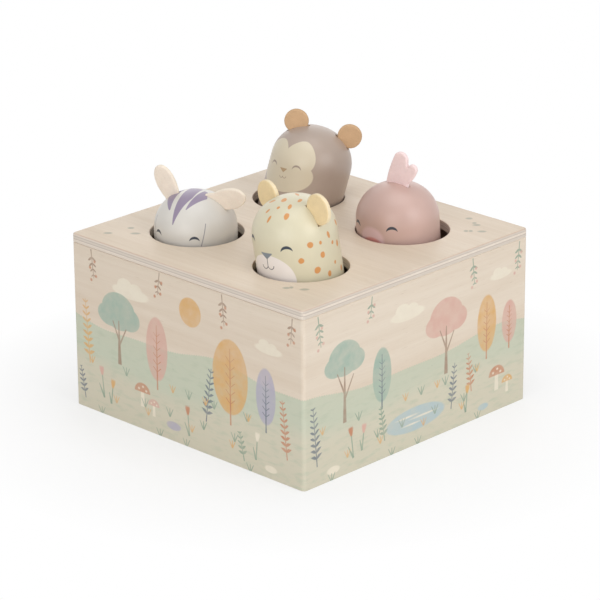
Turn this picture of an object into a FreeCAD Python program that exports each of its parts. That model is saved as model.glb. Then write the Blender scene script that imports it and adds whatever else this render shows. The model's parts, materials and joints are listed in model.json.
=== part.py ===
import FreeCAD, Part
import math
import os

import Sketcher
from FreeCAD import Matrix, Placement, Rotation, Vector

# Pop up animal toy: a square plywood box with four round holes in its top plate.
# A turned wooden animal stands in each hole on a coil spring, which is pressed over
# a spigot under the animal and over a post on the base panel. Pushed down, the
# animal springs up again, and it rocks in its hole.
#
# Frame: millimetres, +Z up, origin at the middle of the underside.
# The animals look towards -Y, and +X is on the right seen from the front.

SHEET = "Dimensions"

# alias, value, meaning (lengths in mm, angles in degrees)
DIMENSIONS = [
    ("box_width", 160.0, "outer size of the box along X"),
    ("box_depth", 160.0, "outer size of the box along Y"),
    ("box_height", 91.5, "floor to the upper face of the top plate"),
    ("plate_thick", 4.8, "five-ply top plate"),
    ("wall_thick", 6.0, "front, right, back and left panels"),
    ("base_thick", 5.0, "base panel, set in between the walls"),
    ("corner_round", 2.0, "rounding of the four upright corners"),
    ("plate_edge_round", 1.1, "rounding of the top plate's upper rim"),
    ("joint_bevel", 0.35, "small bevel on both sides of the joint under the plate"),
    ("base_play", 0.3, "gap between the base panel and each wall"),
    ("hole_pitch_x", 72.0, "hole centres, left to right"),
    ("hole_pitch_y", 72.0, "hole centres, front to back"),
    ("hole_edge_round", 0.4, "rounding of the holes' upper edge"),
    ("head_play", 2.75, "gap between an upright animal and its hole, on the radius"),
    ("block_leg", 14.0, "legs of the triangular corner blocks"),
    ("head_diameter", 41.5, "turned animals"),
    ("crown_radius", 24.0, "arc over the top of the head"),
    ("shoulder_radius", 18.0, "arc between the crown and the straight side"),
    ("foot_round", 2.0, "rounding of the animal's lower edge"),
    ("body_drop", 28.0, "middle of the top plate to the animal's underside"),
    ("spring_diameter", 17.0, "mean diameter of the coils"),
    ("spring_wire", 1.4, "diameter of the spring's wire"),
    ("spring_turns", 8.0, "turns, with one closed turn at each end"),
    ("coil_gap", 0.15, "gap between a closed turn and the next, and at each seat"),
    ("spigot_play", 0.2, "gap between a spigot and the coils, on the radius"),
    ("spigot_length", 4.0, "length of the spigots that hold the spring's ends"),
    ("spigot_bevel", 0.6, "bevel on the spigots' free edge"),
    ("post_rim", 4.0, "flange of a spring post beyond the coils"),
    ("post_thick", 4.0, "thickness of that flange"),
    ("screw_diameter", 3.0, "shank of the wood screws"),
    ("screw_head", 6.0, "countersunk head"),
    ("screw_head_depth", 1.7, "height of the countersunk head's cone"),
    ("screw_play", 0.08, "gap round a screw, on the radius"),
    ("screw_sink", 0.3, "depth of the head's face under the base panel's face"),
    ("recess_width", 0.9, "arm width of the cross recess"),
    ("recess_span", 3.6, "length of the cross recess"),
    ("recess_depth", 1.2, "depth of the cross recess"),
    ("block_screw_length", 18.0, "screws that hold the base panel"),
    ("post_screw_length", 10.0, "screws that hold the spring posts"),
    ("felt_play", 0.1, "gap between a felt piece's root and its slot"),
    ("felt_edge", 0.6, "rounding of the felt pieces' edges"),
    ("felt_seat", 5.0, "depth of the leaf ears' and the comb's roots"),
    ("slot_overrun", 1.3, "length of a slot beyond each end of its felt root"),
    ("round_ear_thick", 2.6, "thickness of the leopard's and the monkey's ears"),
    ("leopard_ear_width", 14.8, "round ears of the leopard"),
    ("leopard_ear_length", 12.1, "from the head to the ear's end"),
    ("leopard_ear_drop", 7.0, "top of the head down to the middle of the ear's root"),
    ("leopard_ear_lean", 44.0, "outward lean from the head's axis"),
    ("leopard_ear_back", 4.5, "swing of both ears towards the back of the head"),
    ("leopard_ear_turn", -5.0, "turn of the pair round the head's axis"),
    ("leopard_ear_droop", 0.0, "extra lean of the right ear, and as much less of the left"),
    ("leopard_ear_twist", 0.0, "turn of the ears about their own length, mirrored"),
    ("leopard_ear_side", 0.3, "shift of the pair to its right"),
    ("monkey_ear_width", 12.2, "round ears of the monkey"),
    ("monkey_ear_length", 9.9, "from the head to the ear's end"),
    ("monkey_ear_drop", 3.1, "top of the head down to the middle of the ear's root"),
    ("monkey_ear_lean", 38.0, "outward lean from the head's axis"),
    ("monkey_ear_back", 2.0, "swing of both ears towards the back of the head"),
    ("monkey_ear_turn", 28.0, "turn of the pair round the head's axis"),
    ("monkey_ear_droop", 0.0, "extra lean of the right ear, and as much less of the left"),
    ("monkey_ear_twist", 0.0, "turn of the ears about their own length, mirrored"),
    ("monkey_ear_side", 1.4, "shift of the pair to its right"),
    ("leaf_ear_thick", 2.2, "thickness of the zebra's ears"),
    ("leaf_tip_round", 2.4, "rounding of the leaf ears' tips"),
    ("leaf_root_width", 7.8, "width of the leaf ears' roots"),
    ("leaf_widest_share", 0.46, "share of the leaf ears' length where they are widest"),
    ("zebra_ear_width", 10.2, "leaf ears of the zebra at their widest"),
    ("zebra_ear_length", 16.6, "from the head to the leaf's unrounded tip"),
    ("zebra_ear_drop", 3.4, "top of the head down to the middle of the ear's root"),
    ("zebra_ear_lean", 50.4, "outward lean from the head's axis"),
    ("zebra_ear_back", -1.8, "swing of both ears towards the back of the head"),
    ("zebra_ear_turn", 7.6, "turn of the pair round the head's axis"),
    ("zebra_ear_droop", 23.8, "extra lean of the right ear, and as much less of the left"),
    ("zebra_ear_twist", 8.5, "turn of the ears about their own length, mirrored"),
    ("zebra_ear_side", -0.2, "shift of the pair to its right"),
    ("comb_thick", 2.4, "thickness of the bird's comb"),
    ("comb_left", 4.2, "from the head's axis to the left end of the comb's root"),
    ("comb_right", 7.0, "from the head's axis to the right end of the comb's root"),
    ("comb_big_radius", 4.0, "big lobe"),
    ("comb_big_side", 4.3, "big lobe's centre, sideways"),
    ("comb_big_height", 12.2, "big lobe's centre, above the top of the head"),
    ("comb_small_radius", 2.6, "small lobe"),
    ("comb_small_side", 11.0, "small lobe's centre, sideways"),
    ("comb_small_height", 8.0, "small lobe's centre, above the top of the head"),
]

# Each animal: column and row of its hole, then how high its head stands over the
# middle of the top plate, how it leans, how far it stands off the hole's centre, and
# how far it is turned from looking straight ahead. Lean and offset are along the
# diagonal that runs from the front left to the back right.
ROCK_DIRECTION = 45.0
ANIMALS = {
    "leopard": {"column": 1, "row": -1, "crown": 38.2, "lean": -7.4, "shift": -0.4, "turn": -2.0},
    "zebra": {"column": -1, "row": -1, "crown": 23.4, "lean": 0.0, "shift": -0.6, "turn": 13.0},
    "bird": {"column": 1, "row": 1, "crown": 27.1, "lean": -3.3, "shift": -2.0, "turn": 7.0},
    "monkey": {"column": -1, "row": 1, "crown": 40.5, "lean": 14.8, "shift": 1.0, "turn": 8.0},
}
TOUCHING = 1e-3  # two places nearer than this are one
SIDES = {"left": -1, "right": 1}
PANELS = {"front": 0.0, "right": 90.0, "back": 180.0, "left": 270.0}


# ---------------------------------------------------------------- sizes and formulas


class Size:
    """A number together with the sheet formula that gives it."""

    def __init__(self, value, formula):
        self.value = value
        self.formula = formula

    def joined(self, other, sign, value):
        return Size(value, f"({self.formula} {sign} {as_size(other).formula})")

    def __add__(self, other):
        return self.joined(other, "+", self.value + as_size(other).value)

    def __sub__(self, other):
        return self.joined(other, "-", self.value - as_size(other).value)

    def __mul__(self, other):
        return self.joined(other, "*", self.value * as_size(other).value)

    def __truediv__(self, other):
        return self.joined(other, "/", self.value / as_size(other).value)

    def __neg__(self):
        return Size(-self.value, f"(-1 * {self.formula})")

    def root(self):
        return Size(math.sqrt(self.value), f"sqrt({self.formula})")


def as_size(number):
    return number if isinstance(number, Size) else Size(number, f"({number})")


doc = FreeCAD.newDocument("pop_up_animal_toy")
sheet = doc.addObject("Spreadsheet::Sheet", SHEET)


def fill_sheet():
    """Writes every driving dimension into the sheet and returns it as a Size."""
    rows = list(DIMENSIONS)
    for animal, facts in ANIMALS.items():
        rows.append((f"{animal}_crown", facts["crown"], "top of the head over the plate's middle"))
        rows.append((f"{animal}_lean", facts["lean"], "lean along the diagonal"))
        rows.append((f"{animal}_shift", facts["shift"], "offset from the hole's centre"))
        rows.append((f"{animal}_turn", facts["turn"], "turn from looking straight ahead"))
    sizes = {}
    for line, (alias, value, meaning) in enumerate(rows, start=1):
        sheet.set(f"A{line}", alias)
        sheet.set(f"B{line}", str(value))
        sheet.setAlias(f"B{line}", alias)
        sheet.set(f"C{line}", meaning)
        sizes[alias] = Size(value, f"{SHEET}.{alias}")
    return sizes


dim = fill_sheet()
doc.recompute()

# Sizes that follow from the driving ones.
wall_height = dim["box_height"] - dim["plate_thick"]
pivot_height = dim["box_height"] - dim["plate_thick"] / 2
inner_width = dim["box_width"] - dim["wall_thick"] * 2
inner_depth = dim["box_depth"] - dim["wall_thick"] * 2
head_radius = dim["head_diameter"] / 2
hole_radius = head_radius + dim["head_play"]
spigot_radius = dim["spring_diameter"] / 2 - dim["spring_wire"] / 2 - dim["spigot_play"]
post_radius = dim["spring_diameter"] / 2 + dim["spring_wire"] / 2 + dim["post_rim"]
spring_seat = dim["base_thick"] + dim["post_thick"]
block_height = wall_height - dim["base_thick"]
screw_hole = dim["screw_diameter"] / 2 + dim["screw_play"]


# ------------------------------------------------------------------------- helpers


def bind(feature, **sizes):
    """Sets properties by formula, such as bind(box, Length=inner_width)."""
    for name, size in sizes.items():
        feature.setExpression(name, as_size(size).formula)


def labelled(feature, label):
    feature.Label = label
    return feature


def origin_item(body, role):
    return next(item for item in body.Origin.OriginFeatures if item.Role == role)


def new_sketch(body, name, plane="XY_Plane"):
    sketch = body.newObject("Sketcher::SketchObject", name)
    sketch.AttachmentSupport = [(origin_item(body, plane), "")]
    sketch.MapMode = "FlatFace"
    return sketch


def pin_coordinate(sketch, kind, geometry, end, size):
    """Holds one coordinate of a point: on the axis for 0, or at a size."""
    if not isinstance(size, Size):
        axis = -2 if kind == "DistanceX" else -1
        sketch.addConstraint(Sketcher.Constraint("PointOnObject", geometry, end, axis))
        return
    index = sketch.addConstraint(Sketcher.Constraint(kind, geometry, end, size.value))
    sketch.setExpression(f"Constraints[{index}]", size.formula)


def draw_outline(sketch, corners, arcs=None):
    """Draws a closed outline through corners, each a pair of Sizes or 0.

    arcs maps the number of a corner to (centre, radius, turn) of the arc that leaves
    it, with turn 1 for anticlockwise and -1 for clockwise.
    """
    arcs = arcs or {}
    points = [Vector(as_size(x).value, as_size(y).value, 0) for x, y in corners]
    starts = []
    ends = []
    for number, start in enumerate(points):
        end = points[(number + 1) % len(points)]
        if number not in arcs:
            sketch.addGeometry(Part.LineSegment(start, end))
            starts.append(1)
            ends.append(2)
            continue
        centre, radius, turn = arcs[number]
        middle = Vector(as_size(centre[0]).value, as_size(centre[1]).value, 0)
        first, last = (start, end) if turn > 0 else (end, start)
        angles = [math.atan2(p.y - middle.y, p.x - middle.x) for p in (first, last)]
        circle = Part.Circle(middle, Vector(0, 0, 1), radius.value)
        sketch.addGeometry(Part.ArcOfCircle(circle, angles[0], angles[1]))
        starts.append(1 if turn > 0 else 2)
        ends.append(2 if turn > 0 else 1)
    for number in range(len(points)):
        after = (number + 1) % len(points)
        sketch.addConstraint(
            Sketcher.Constraint("Coincident", number, ends[number], after, starts[after])
        )
        x, y = corners[number]
        pin_coordinate(sketch, "DistanceX", number, starts[number], x)
        pin_coordinate(sketch, "DistanceY", number, starts[number], y)
    for number, (_, radius, _) in arcs.items():
        index = sketch.addConstraint(Sketcher.Constraint("Radius", number, radius.value))
        sketch.setExpression(f"Constraints[{index}]", radius.formula)


def draw_circle(sketch, x, y, radius):
    centre = Vector(as_size(x).value, as_size(y).value, 0)
    number = sketch.addGeometry(Part.Circle(centre, Vector(0, 0, 1), radius.value))
    pin_coordinate(sketch, "DistanceX", number, 3, x)
    pin_coordinate(sketch, "DistanceY", number, 3, y)
    index = sketch.addConstraint(Sketcher.Constraint("Radius", number, radius.value))
    sketch.setExpression(f"Constraints[{index}]", radius.formula)


def pad(body, sketch, length):
    feature = body.newObject("PartDesign::Pad", f"{body.Name}_pad")
    feature.Profile = sketch
    bind(feature, Length=length)
    sketch.Visibility = False
    doc.recompute()
    return feature


def revolve(body, sketch):
    feature = body.newObject("PartDesign::Revolution", f"{body.Name}_revolution")
    feature.Profile = sketch
    feature.ReferenceAxis = (sketch, ["V_Axis"])
    feature.Angle = 360
    doc.recompute()
    return feature


def dress_edges(body, base, kind, size, wanted):
    """Fillets or chamfers those edges of base for which wanted(edge) is true."""
    names = [f"Edge{n}" for n, edge in enumerate(base.Shape.Edges, start=1) if wanted(edge)]
    feature = body.newObject(f"PartDesign::{kind}", f"{base.Name}_{kind.lower()}")
    feature.Base = (base, names)
    if kind == "Fillet":
        bind(feature, Radius=size)
    else:
        bind(feature, Size=size)
    doc.recompute()
    return feature


def lies_at(edge, height):
    box = edge.BoundBox
    return abs(box.ZMin - height) < TOUCHING and abs(box.ZMax - height) < TOUCHING


def cylinder(label, radius, length, x, y, z):
    feature = labelled(doc.addObject("Part::Cylinder", label), label)
    bind(feature, Radius=radius, Height=length)
    place(feature, x, y, z)
    return feature


def place(feature, x, y, z):
    for axis, size in (("x", x), ("y", y), ("z", z)):
        feature.setExpression(f"Placement.Base.{axis}", as_size(size).formula)


def frame_at(origin, x, y, z):
    """Placement of a frame from its origin and its three directions."""
    rows = [(x[i], y[i], z[i], origin[i]) for i in range(3)]
    numbers = [number for row in rows for number in row]
    return Placement(Matrix(*numbers, 0, 0, 0, 1))


def cut(label, base, tools):
    """Cuts the tools out of base, as one sub-part with that label."""
    group = doc.addObject("Part::Compound", f"{label}_tools")
    group.Links = tools
    feature = labelled(doc.addObject("Part::Cut", label), label)
    feature.Base = base
    feature.Tool = group
    doc.recompute()
    return feature


def solid_feature(label, shape, placement=None):
    feature = labelled(doc.addObject("Part::Feature", label), label)
    feature.Shape = shape
    if placement:
        feature.Placement = placement
    return feature


def hole_centre(animal):
    facts = ANIMALS[animal]
    x = dim["hole_pitch_x"] / 2 * facts["column"]
    y = dim["hole_pitch_y"] / 2 * facts["row"]
    return x, y


# ---------------------------------------------------------------------- plywood box


def make_top_plate():
    body = doc.addObject("PartDesign::Body", "top_plate_blank")
    sketch = new_sketch(body, "top_plate_outline")
    half_x = dim["box_width"] / 2
    half_y = dim["box_depth"] / 2
    radius = dim["corner_round"]
    corners = [
        (radius - half_x, -half_y),
        (half_x - radius, -half_y),
        (half_x, radius - half_y),
        (half_x, half_y - radius),
        (half_x - radius, half_y),
        (radius - half_x, half_y),
        (-half_x, half_y - radius),
        (-half_x, radius - half_y),
    ]
    arcs = {
        1: ((half_x - radius, radius - half_y), radius, 1),
        3: ((half_x - radius, half_y - radius), radius, 1),
        5: ((radius - half_x, half_y - radius), radius, 1),
        7: ((radius - half_x, radius - half_y), radius, 1),
    }
    draw_outline(sketch, corners, arcs)
    for animal in ANIMALS:
        draw_circle(sketch, *hole_centre(animal), hole_radius)
    blank = pad(body, sketch, dim["plate_thick"])
    limit = hole_radius.value + TOUCHING

    def is_hole(edge):
        return isinstance(edge.Curve, Part.Circle) and abs(edge.Curve.Radius - limit) < 0.01

    def is_rim(edge):
        return not is_hole(edge)

    top = dim["plate_thick"].value
    rim = dress_edges(
        body, blank, "Fillet", dim["plate_edge_round"], lambda e: lies_at(e, top) and is_rim(e)
    )
    holes = dress_edges(
        body, rim, "Fillet", dim["hole_edge_round"], lambda e: lies_at(e, top) and is_hole(e)
    )
    bevel = dress_edges(
        body, holes, "Chamfer", dim["joint_bevel"], lambda e: lies_at(e, 0) and is_rim(e)
    )
    body.Tip = bevel
    place(body, 0, 0, wall_height)
    labelled(body, "top_plate")
    return body


def make_panel(name, turn):
    """A wall panel, mitred at both ends, with half of each rounded corner."""
    facing_x = name in ("front", "back")
    width = dim["box_width"] if facing_x else dim["box_depth"]
    away = dim["box_depth"] if facing_x else dim["box_width"]
    body = doc.addObject("PartDesign::Body", f"{name}_panel")
    sketch = new_sketch(body, f"{name}_panel_outline")
    half = width / 2
    out = away / 2
    radius = dim["corner_round"]
    corner = radius * (1 - math.sqrt(0.5))
    thick = dim["wall_thick"]
    corners = [
        (radius - half, -out),
        (half - radius, -out),
        (half - corner, corner - out),
        (half - thick, thick - out),
        (thick - half, thick - out),
        (corner - half, corner - out),
    ]
    arcs = {
        1: ((half - radius, radius - out), radius, 1),
        5: ((radius - half, radius - out), radius, 1),
    }
    draw_outline(sketch, corners, arcs)
    blank = pad(body, sketch, wall_height)
    outer = thick.value / 2 - out.value

    def is_upper_outside(edge):
        on_top = lies_at(edge, wall_height.value)
        straight = edge.BoundBox.YMax < outer and edge.BoundBox.YLength < TOUCHING
        return on_top and straight

    bevel = dress_edges(body, blank, "Chamfer", dim["joint_bevel"], is_upper_outside)
    body.Tip = bevel
    body.Placement = Placement(Vector(0, 0, 0), Rotation(Vector(0, 0, 1), turn))
    return labelled(body, f"{name}_panel")


def block_screw_places():
    """The four screw places, each in the middle of a corner block's triangle."""
    inset = dim["block_leg"] / 3
    places = []
    for side_y in (-1, 1):
        for side_x in (-1, 1):
            x = (inner_width / 2 - inset) * side_x
            y = (inner_depth / 2 - inset) * side_y
            places.append((x, y))
    return places


def make_corner_blocks():
    """Triangular glue blocks in the four inner corners, with screw holes."""
    names = ["front_left", "front_right", "back_left", "back_right"]
    sides = [(-1, -1), (1, -1), (-1, 1), (1, 1)]
    leg = dim["block_leg"]
    depth = dim["block_screw_length"] - dim["base_thick"] + dim["screw_head_depth"]
    blocks = []
    for name, (side_x, side_y), (x, y) in zip(names, sides, block_screw_places()):
        label = f"corner_block_{name}"
        body = doc.addObject("PartDesign::Body", f"{label}_blank")
        sketch = new_sketch(body, f"{label}_outline")
        corner_x = inner_width / 2 * side_x
        corner_y = inner_depth / 2 * side_y
        corners = [
            (corner_x, corner_y),
            (corner_x - leg * side_x, corner_y),
            (corner_x, corner_y - leg * side_y),
        ]
        draw_outline(sketch, corners)
        pad(body, sketch, block_height)
        place(body, 0, 0, dim["base_thick"])
        hole = cylinder(f"{label}_hole", screw_hole, depth, x, y, dim["base_thick"])
        blocks.append(cut(label, body, [hole]))
    return blocks


def screw_clearance(label, x, y):
    """The hole for a countersunk screw through the base panel, from below."""
    shank = cylinder(f"{label}_shank", screw_hole, dim["base_thick"] * 2, x, y, 0)
    head = labelled(doc.addObject("Part::Cone", f"{label}_head"), f"{label}_head")
    slope = (dim["screw_head"] - dim["screw_diameter"]) / 2 / dim["screw_head_depth"]
    wide = dim["screw_head"] / 2 + dim["screw_play"] + slope * dim["screw_sink"]
    bind(head, Radius1=wide, Radius2=screw_hole)
    bind(head, Height=dim["screw_head_depth"] + dim["screw_sink"])
    place(head, x, y, 0)
    return [shank, head]


def make_base_panel():
    body = doc.addObject("PartDesign::Body", "base_panel_blank")
    sketch = new_sketch(body, "base_panel_outline")
    half_x = inner_width / 2 - dim["base_play"]
    half_y = inner_depth / 2 - dim["base_play"]
    corners = [(-half_x, -half_y), (half_x, -half_y), (half_x, half_y), (-half_x, half_y)]
    draw_outline(sketch, corners)
    pad(body, sketch, dim["base_thick"])
    tools = []
    for number, (x, y) in enumerate(block_screw_places()):
        tools += screw_clearance(f"block_screw_hole_{number}", x, y)
    for animal in ANIMALS:
        tools += screw_clearance(f"{animal}_post_screw_hole", *hole_centre(animal))
    return cut("base_panel", body, tools)


def make_screws(label, places, length):
    """A group of equal countersunk wood screws, heads down, with a cross recess."""
    body = doc.addObject("PartDesign::Body", f"{label}_blank")
    sketch = new_sketch(body, f"{label}_profile", "XZ_Plane")
    shank = dim["screw_diameter"] / 2
    point = dim["screw_diameter"]
    corners = [
        (0, 0),
        (dim["screw_head"] / 2, 0),
        (shank, dim["screw_head_depth"]),
        (shank, length - point),
        (0, length),
    ]
    draw_outline(sketch, corners)
    revolve(body, sketch)
    arms = []
    for number, turn in enumerate((0, 90)):
        arm = doc.addObject("Part::Box", f"{label}_recess_{number}")
        bind(arm, Length=dim["recess_span"], Width=dim["recess_width"], Height=dim["recess_depth"])
        half = Vector(dim["recess_span"].value / 2, dim["recess_width"].value / 2, 0)
        rotation = Rotation(Vector(0, 0, 1), turn)
        arm.Placement = Placement(rotation.multVec(half) * -1, rotation)
        arms.append(arm)
    screw = cut(f"{label}_pattern", body, arms)
    copies = []
    for x, y in places:
        copy = screw.Shape.copy()
        copy.translate(Vector(x.value, y.value, dim["screw_sink"].value))
        copies.append(copy)
    return solid_feature(label, Part.makeCompound(copies))


# -------------------------------------------------------------------------- animals


def figure_placement(animal):
    """From the animal's own frame to the toy's.

    The animal's frame has its origin in the middle of the top plate's thickness, +Z
    up its own axis and -Y where it looks.
    """
    x, y = hole_centre(animal)
    turn = math.radians(ROCK_DIRECTION)
    along = Vector(math.cos(turn), math.sin(turn), 0)
    centre = Vector(x.value, y.value, pivot_height.value)
    centre += along * dim[f"{animal}_shift"].value
    lean = Rotation(Vector(0, 0, 1).cross(along), dim[f"{animal}_lean"].value)
    own_turn = Rotation(Vector(0, 0, 1), dim[f"{animal}_turn"].value)
    return Placement(centre, lean.multiply(own_turn))


def shoulder_level():
    """How far under the top of the head the straight side begins."""
    crown = dim["crown_radius"]
    shoulder = dim["shoulder_radius"]
    reach = head_radius - shoulder
    between = crown - shoulder
    return crown - (between * between - reach * reach).root()


def dome_radius(depth):
    """Radius of the domed head at a depth under its top."""
    crown = dim["crown_radius"].value
    shoulder = dim["shoulder_radius"].value
    reach = head_radius.value - shoulder
    level = shoulder_level().value
    seam = crown - crown * (crown - level) / (crown - shoulder)
    if depth <= seam:
        return math.sqrt(crown**2 - (crown - depth) ** 2)
    if depth <= level:
        return reach + math.sqrt(shoulder**2 - (level - depth) ** 2)
    return head_radius.value


def make_turned_body(animal):
    """The turned wooden figure, with the spring's spigot under it."""
    body = doc.addObject("PartDesign::Body", f"{animal}_turning")
    sketch = new_sketch(body, f"{animal}_profile", "XZ_Plane")
    top = dim[f"{animal}_crown"]
    crown = dim["crown_radius"]
    shoulder = dim["shoulder_radius"]
    level = top - shoulder_level()
    seam_share = crown / (crown - shoulder)
    seam_x = (head_radius - shoulder) * seam_share
    seam_z = top - crown + (level - top + crown) * seam_share
    foot = -dim["body_drop"]
    foot_round = dim["foot_round"]
    spigot_end = foot - dim["spigot_length"]
    bevel = dim["spigot_bevel"]
    corners = [
        (0, top),
        (seam_x, seam_z),
        (head_radius, level),
        (head_radius, foot + foot_round),
        (head_radius - foot_round, foot),
        (spigot_radius, foot),
        (spigot_radius, spigot_end + bevel),
        (spigot_radius - bevel, spigot_end),
        (0, spigot_end),
    ]
    arcs = {
        0: ((0, top - crown), crown, -1),
        1: ((head_radius - shoulder, level), shoulder, -1),
        3: ((head_radius - foot_round, foot + foot_round), foot_round, -1),
    }
    draw_outline(sketch, corners, arcs)
    revolve(body, sketch)
    return body


def ear_frame(animal, side):
    """Frame of an ear in the animal's frame: +Z along the ear, +Y through its back."""
    back = math.radians(dim[f"{animal}_ear_back"].value)
    pair = Rotation(Vector(0, 0, 1), dim[f"{animal}_ear_turn"].value)
    outward = pair.multVec(Vector(side * math.cos(back), math.sin(back), 0))
    lean = (dim[f"{animal}_ear_lean"] + dim[f"{animal}_ear_droop"] * side).value
    tilt = math.radians(lean)
    along = outward * math.sin(tilt) + Vector(0, 0, 1) * math.cos(tilt)
    rear = pair.multVec(Vector(0, 1, 0))
    through = rear - along * along.dot(rear)
    through.normalize()
    across = through.cross(along)
    drop = dim[f"{animal}_ear_drop"].value
    root = outward * dome_radius(drop)
    root += pair.multVec(Vector(dim[f"{animal}_ear_side"].value, 0, 0))
    root += Vector(0, 0, dim[f"{animal}_crown"].value - drop)
    twist = Rotation(Vector(0, 0, 1), dim[f"{animal}_ear_twist"].value * side)
    return frame_at(root, across, through, along).multiply(Placement(Vector(), twist))


def box_slot(label, left, right, thick, depth, frame):
    """A slot for a felt piece's straight root, open through the dome's surface.

    It runs from left to right across the frame and reaches that depth into the head.
    """
    play = dim["felt_play"]
    overrun = dim["slot_overrun"]
    slot = labelled(doc.addObject("Part::Box", label), label)
    breadth = thick + play * 2
    below = depth + play
    bind(slot, Length=right - left + overrun * 2, Width=breadth, Height=below * 2)
    corner = Vector((left - overrun).value, -breadth.value / 2, -below.value)
    slot.Placement = frame.multiply(Placement(corner, Rotation()))
    return slot


def disc_slot(label, radius, thick, height, frame):
    """A slot for a felt disc whose centre stands at that height over the dome."""
    slot = labelled(doc.addObject("Part::Cylinder", label), label)
    breadth = thick + dim["felt_play"] * 2
    bind(slot, Radius=radius + dim["slot_overrun"], Height=breadth)
    centre = Vector(0, breadth.value / 2, height.value)
    slot.Placement = frame.multiply(Placement(centre, Rotation(Vector(1, 0, 0), 90)))
    return slot


def softened(shape, lowest=None):
    """Rounds the outline's edges on both faces of a felt piece, above a level."""
    edges = []
    for edge in shape.Edges:
        box = edge.BoundBox
        if box.YLength < TOUCHING and (lowest is None or box.ZMax > lowest + TOUCHING):
            edges.append(edge)
    return shape.makeFillet(dim["felt_edge"].value, edges)


def felt_blank(edges, thick):
    """Extrudes a closed outline in the XZ plane to a felt piece, centred on it."""
    face = Part.Face(Part.Wire(edges))
    face.translate(Vector(0, -thick / 2, 0))
    return face.extrude(Vector(0, thick, 0))


def make_round_ears(animal):
    """Two felt discs, each let into a slot in the head."""
    thick = dim["round_ear_thick"]
    radius = dim[f"{animal}_ear_width"] / 2
    height = dim[f"{animal}_ear_length"] - radius
    ears = []
    slots = []
    for name, side in SIDES.items():
        frame = ear_frame(animal, side)
        base = Vector(0, -thick.value / 2, height.value)
        disc = Part.makeCylinder(radius.value, thick.value, base, Vector(0, 1, 0))
        placement = figure_placement(animal).multiply(frame)
        ears.append(solid_feature(f"{animal}_ear_{name}", softened(disc), placement))
        slots.append(disc_slot(f"{animal}_slot_{name}", radius, thick, height, frame))
    return ears, slots


def make_leaf_ears(animal):
    """Two leaf-shaped felt ears, widest a little under their middle."""
    thick = dim["leaf_ear_thick"]
    half = dim[f"{animal}_ear_width"].value / 2
    half_root = dim["leaf_root_width"].value / 2
    seat = -dim["felt_seat"].value
    tip = Vector(0, 0, dim[f"{animal}_ear_length"].value)
    widest = tip.z * dim["leaf_widest_share"].value
    edges = [Part.makeLine(Vector(half_root, 0, seat), Vector(-half_root, 0, seat))]
    for way in (-1, 1):
        root = Vector(way * half_root, 0, 0)
        edges.append(Part.makeLine(Vector(root.x, 0, seat), root))
        edges.append(Part.Arc(root, Vector(way * half, 0, widest), tip).toShape())
    blank = felt_blank(Part.sortEdges(edges)[0], thick.value)
    tip_edges = [edge for edge in blank.Edges if edge.BoundBox.ZMin > tip.z - TOUCHING]
    blank = blank.makeFillet(dim["leaf_tip_round"].value, tip_edges)
    ears = []
    slots = []
    for name, side in SIDES.items():
        frame = ear_frame(animal, side)
        placement = figure_placement(animal).multiply(frame)
        ears.append(solid_feature(f"{animal}_ear_{name}", softened(blank, seat), placement))
        root_half = dim["leaf_root_width"] / 2
        label = f"{animal}_slot_{name}"
        slots.append(box_slot(label, -root_half, root_half, thick, dim["felt_seat"], frame))
    return ears, slots


def tangent_point(point, centre, radius, side):
    """Where a line from point touches a circle, on the side that side names."""
    offset = centre - point
    distance = offset.Length
    angle = math.asin(radius / distance)
    rotation = Rotation(Vector(0, 1, 0), math.degrees(angle) * side)
    direction = rotation.multVec(offset)
    direction.normalize()
    return point + direction * math.sqrt(distance**2 - radius**2)


def lobe(left, right, seat, centre, radius, thick):
    """A flat lobe: a circle joined by its tangents to the ends of a straight root."""
    left_touch = tangent_point(left, centre, radius, -1)
    right_touch = tangent_point(right, centre, radius, 1)
    away = centre - (left + right) * 0.5
    away.normalize()
    left_seat = Vector(left.x, 0, seat)
    right_seat = Vector(right.x, 0, seat)
    edges = [
        Part.makeLine(left_seat, left),
        Part.makeLine(left, left_touch),
        Part.Arc(left_touch, centre + away * radius, right_touch).toShape(),
        Part.makeLine(right_touch, right),
        Part.makeLine(right, right_seat),
        Part.makeLine(right_seat, left_seat),
    ]
    return felt_blank(edges, thick)


def make_comb(animal):
    """The felt comb: a big and a small lobe on one root."""
    thick = dim["comb_thick"]
    seat = -dim["felt_seat"].value
    left = Vector(-dim["comb_left"].value, 0, 0)
    right = Vector(dim["comb_right"].value, 0, 0)
    big = Vector(dim["comb_big_side"].value, 0, dim["comb_big_height"].value)
    small = Vector(dim["comb_small_side"].value, 0, dim["comb_small_height"].value)
    shape = lobe(left, right, seat, big, dim["comb_big_radius"].value, thick.value)
    other = lobe(left, right, seat, small, dim["comb_small_radius"].value, thick.value)
    shape = softened(shape.fuse(other).removeSplitter().Solids[0], seat)
    frame = Placement(Vector(0, 0, dim[f"{animal}_crown"].value), Rotation())
    placement = figure_placement(animal).multiply(frame)
    comb = solid_feature(f"{animal}_comb", shape, placement)
    ends = (-dim["comb_left"], dim["comb_right"])
    slot = box_slot(f"{animal}_slot", *ends, thick, dim["felt_seat"], frame)
    return [comb], [slot]


FELT = {
    "leopard": make_round_ears,
    "zebra": make_leaf_ears,
    "bird": make_comb,
    "monkey": make_round_ears,
}


def make_figure(animal):
    """The turned body with its slots, and the felt pieces in them."""
    body = make_turned_body(animal)
    felt, slots = FELT[animal](animal)
    figure = cut(f"{animal}_body", body, slots)
    figure.Placement = figure_placement(animal)
    return [figure] + felt


# --------------------------------------------------------------------------- springs


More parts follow.
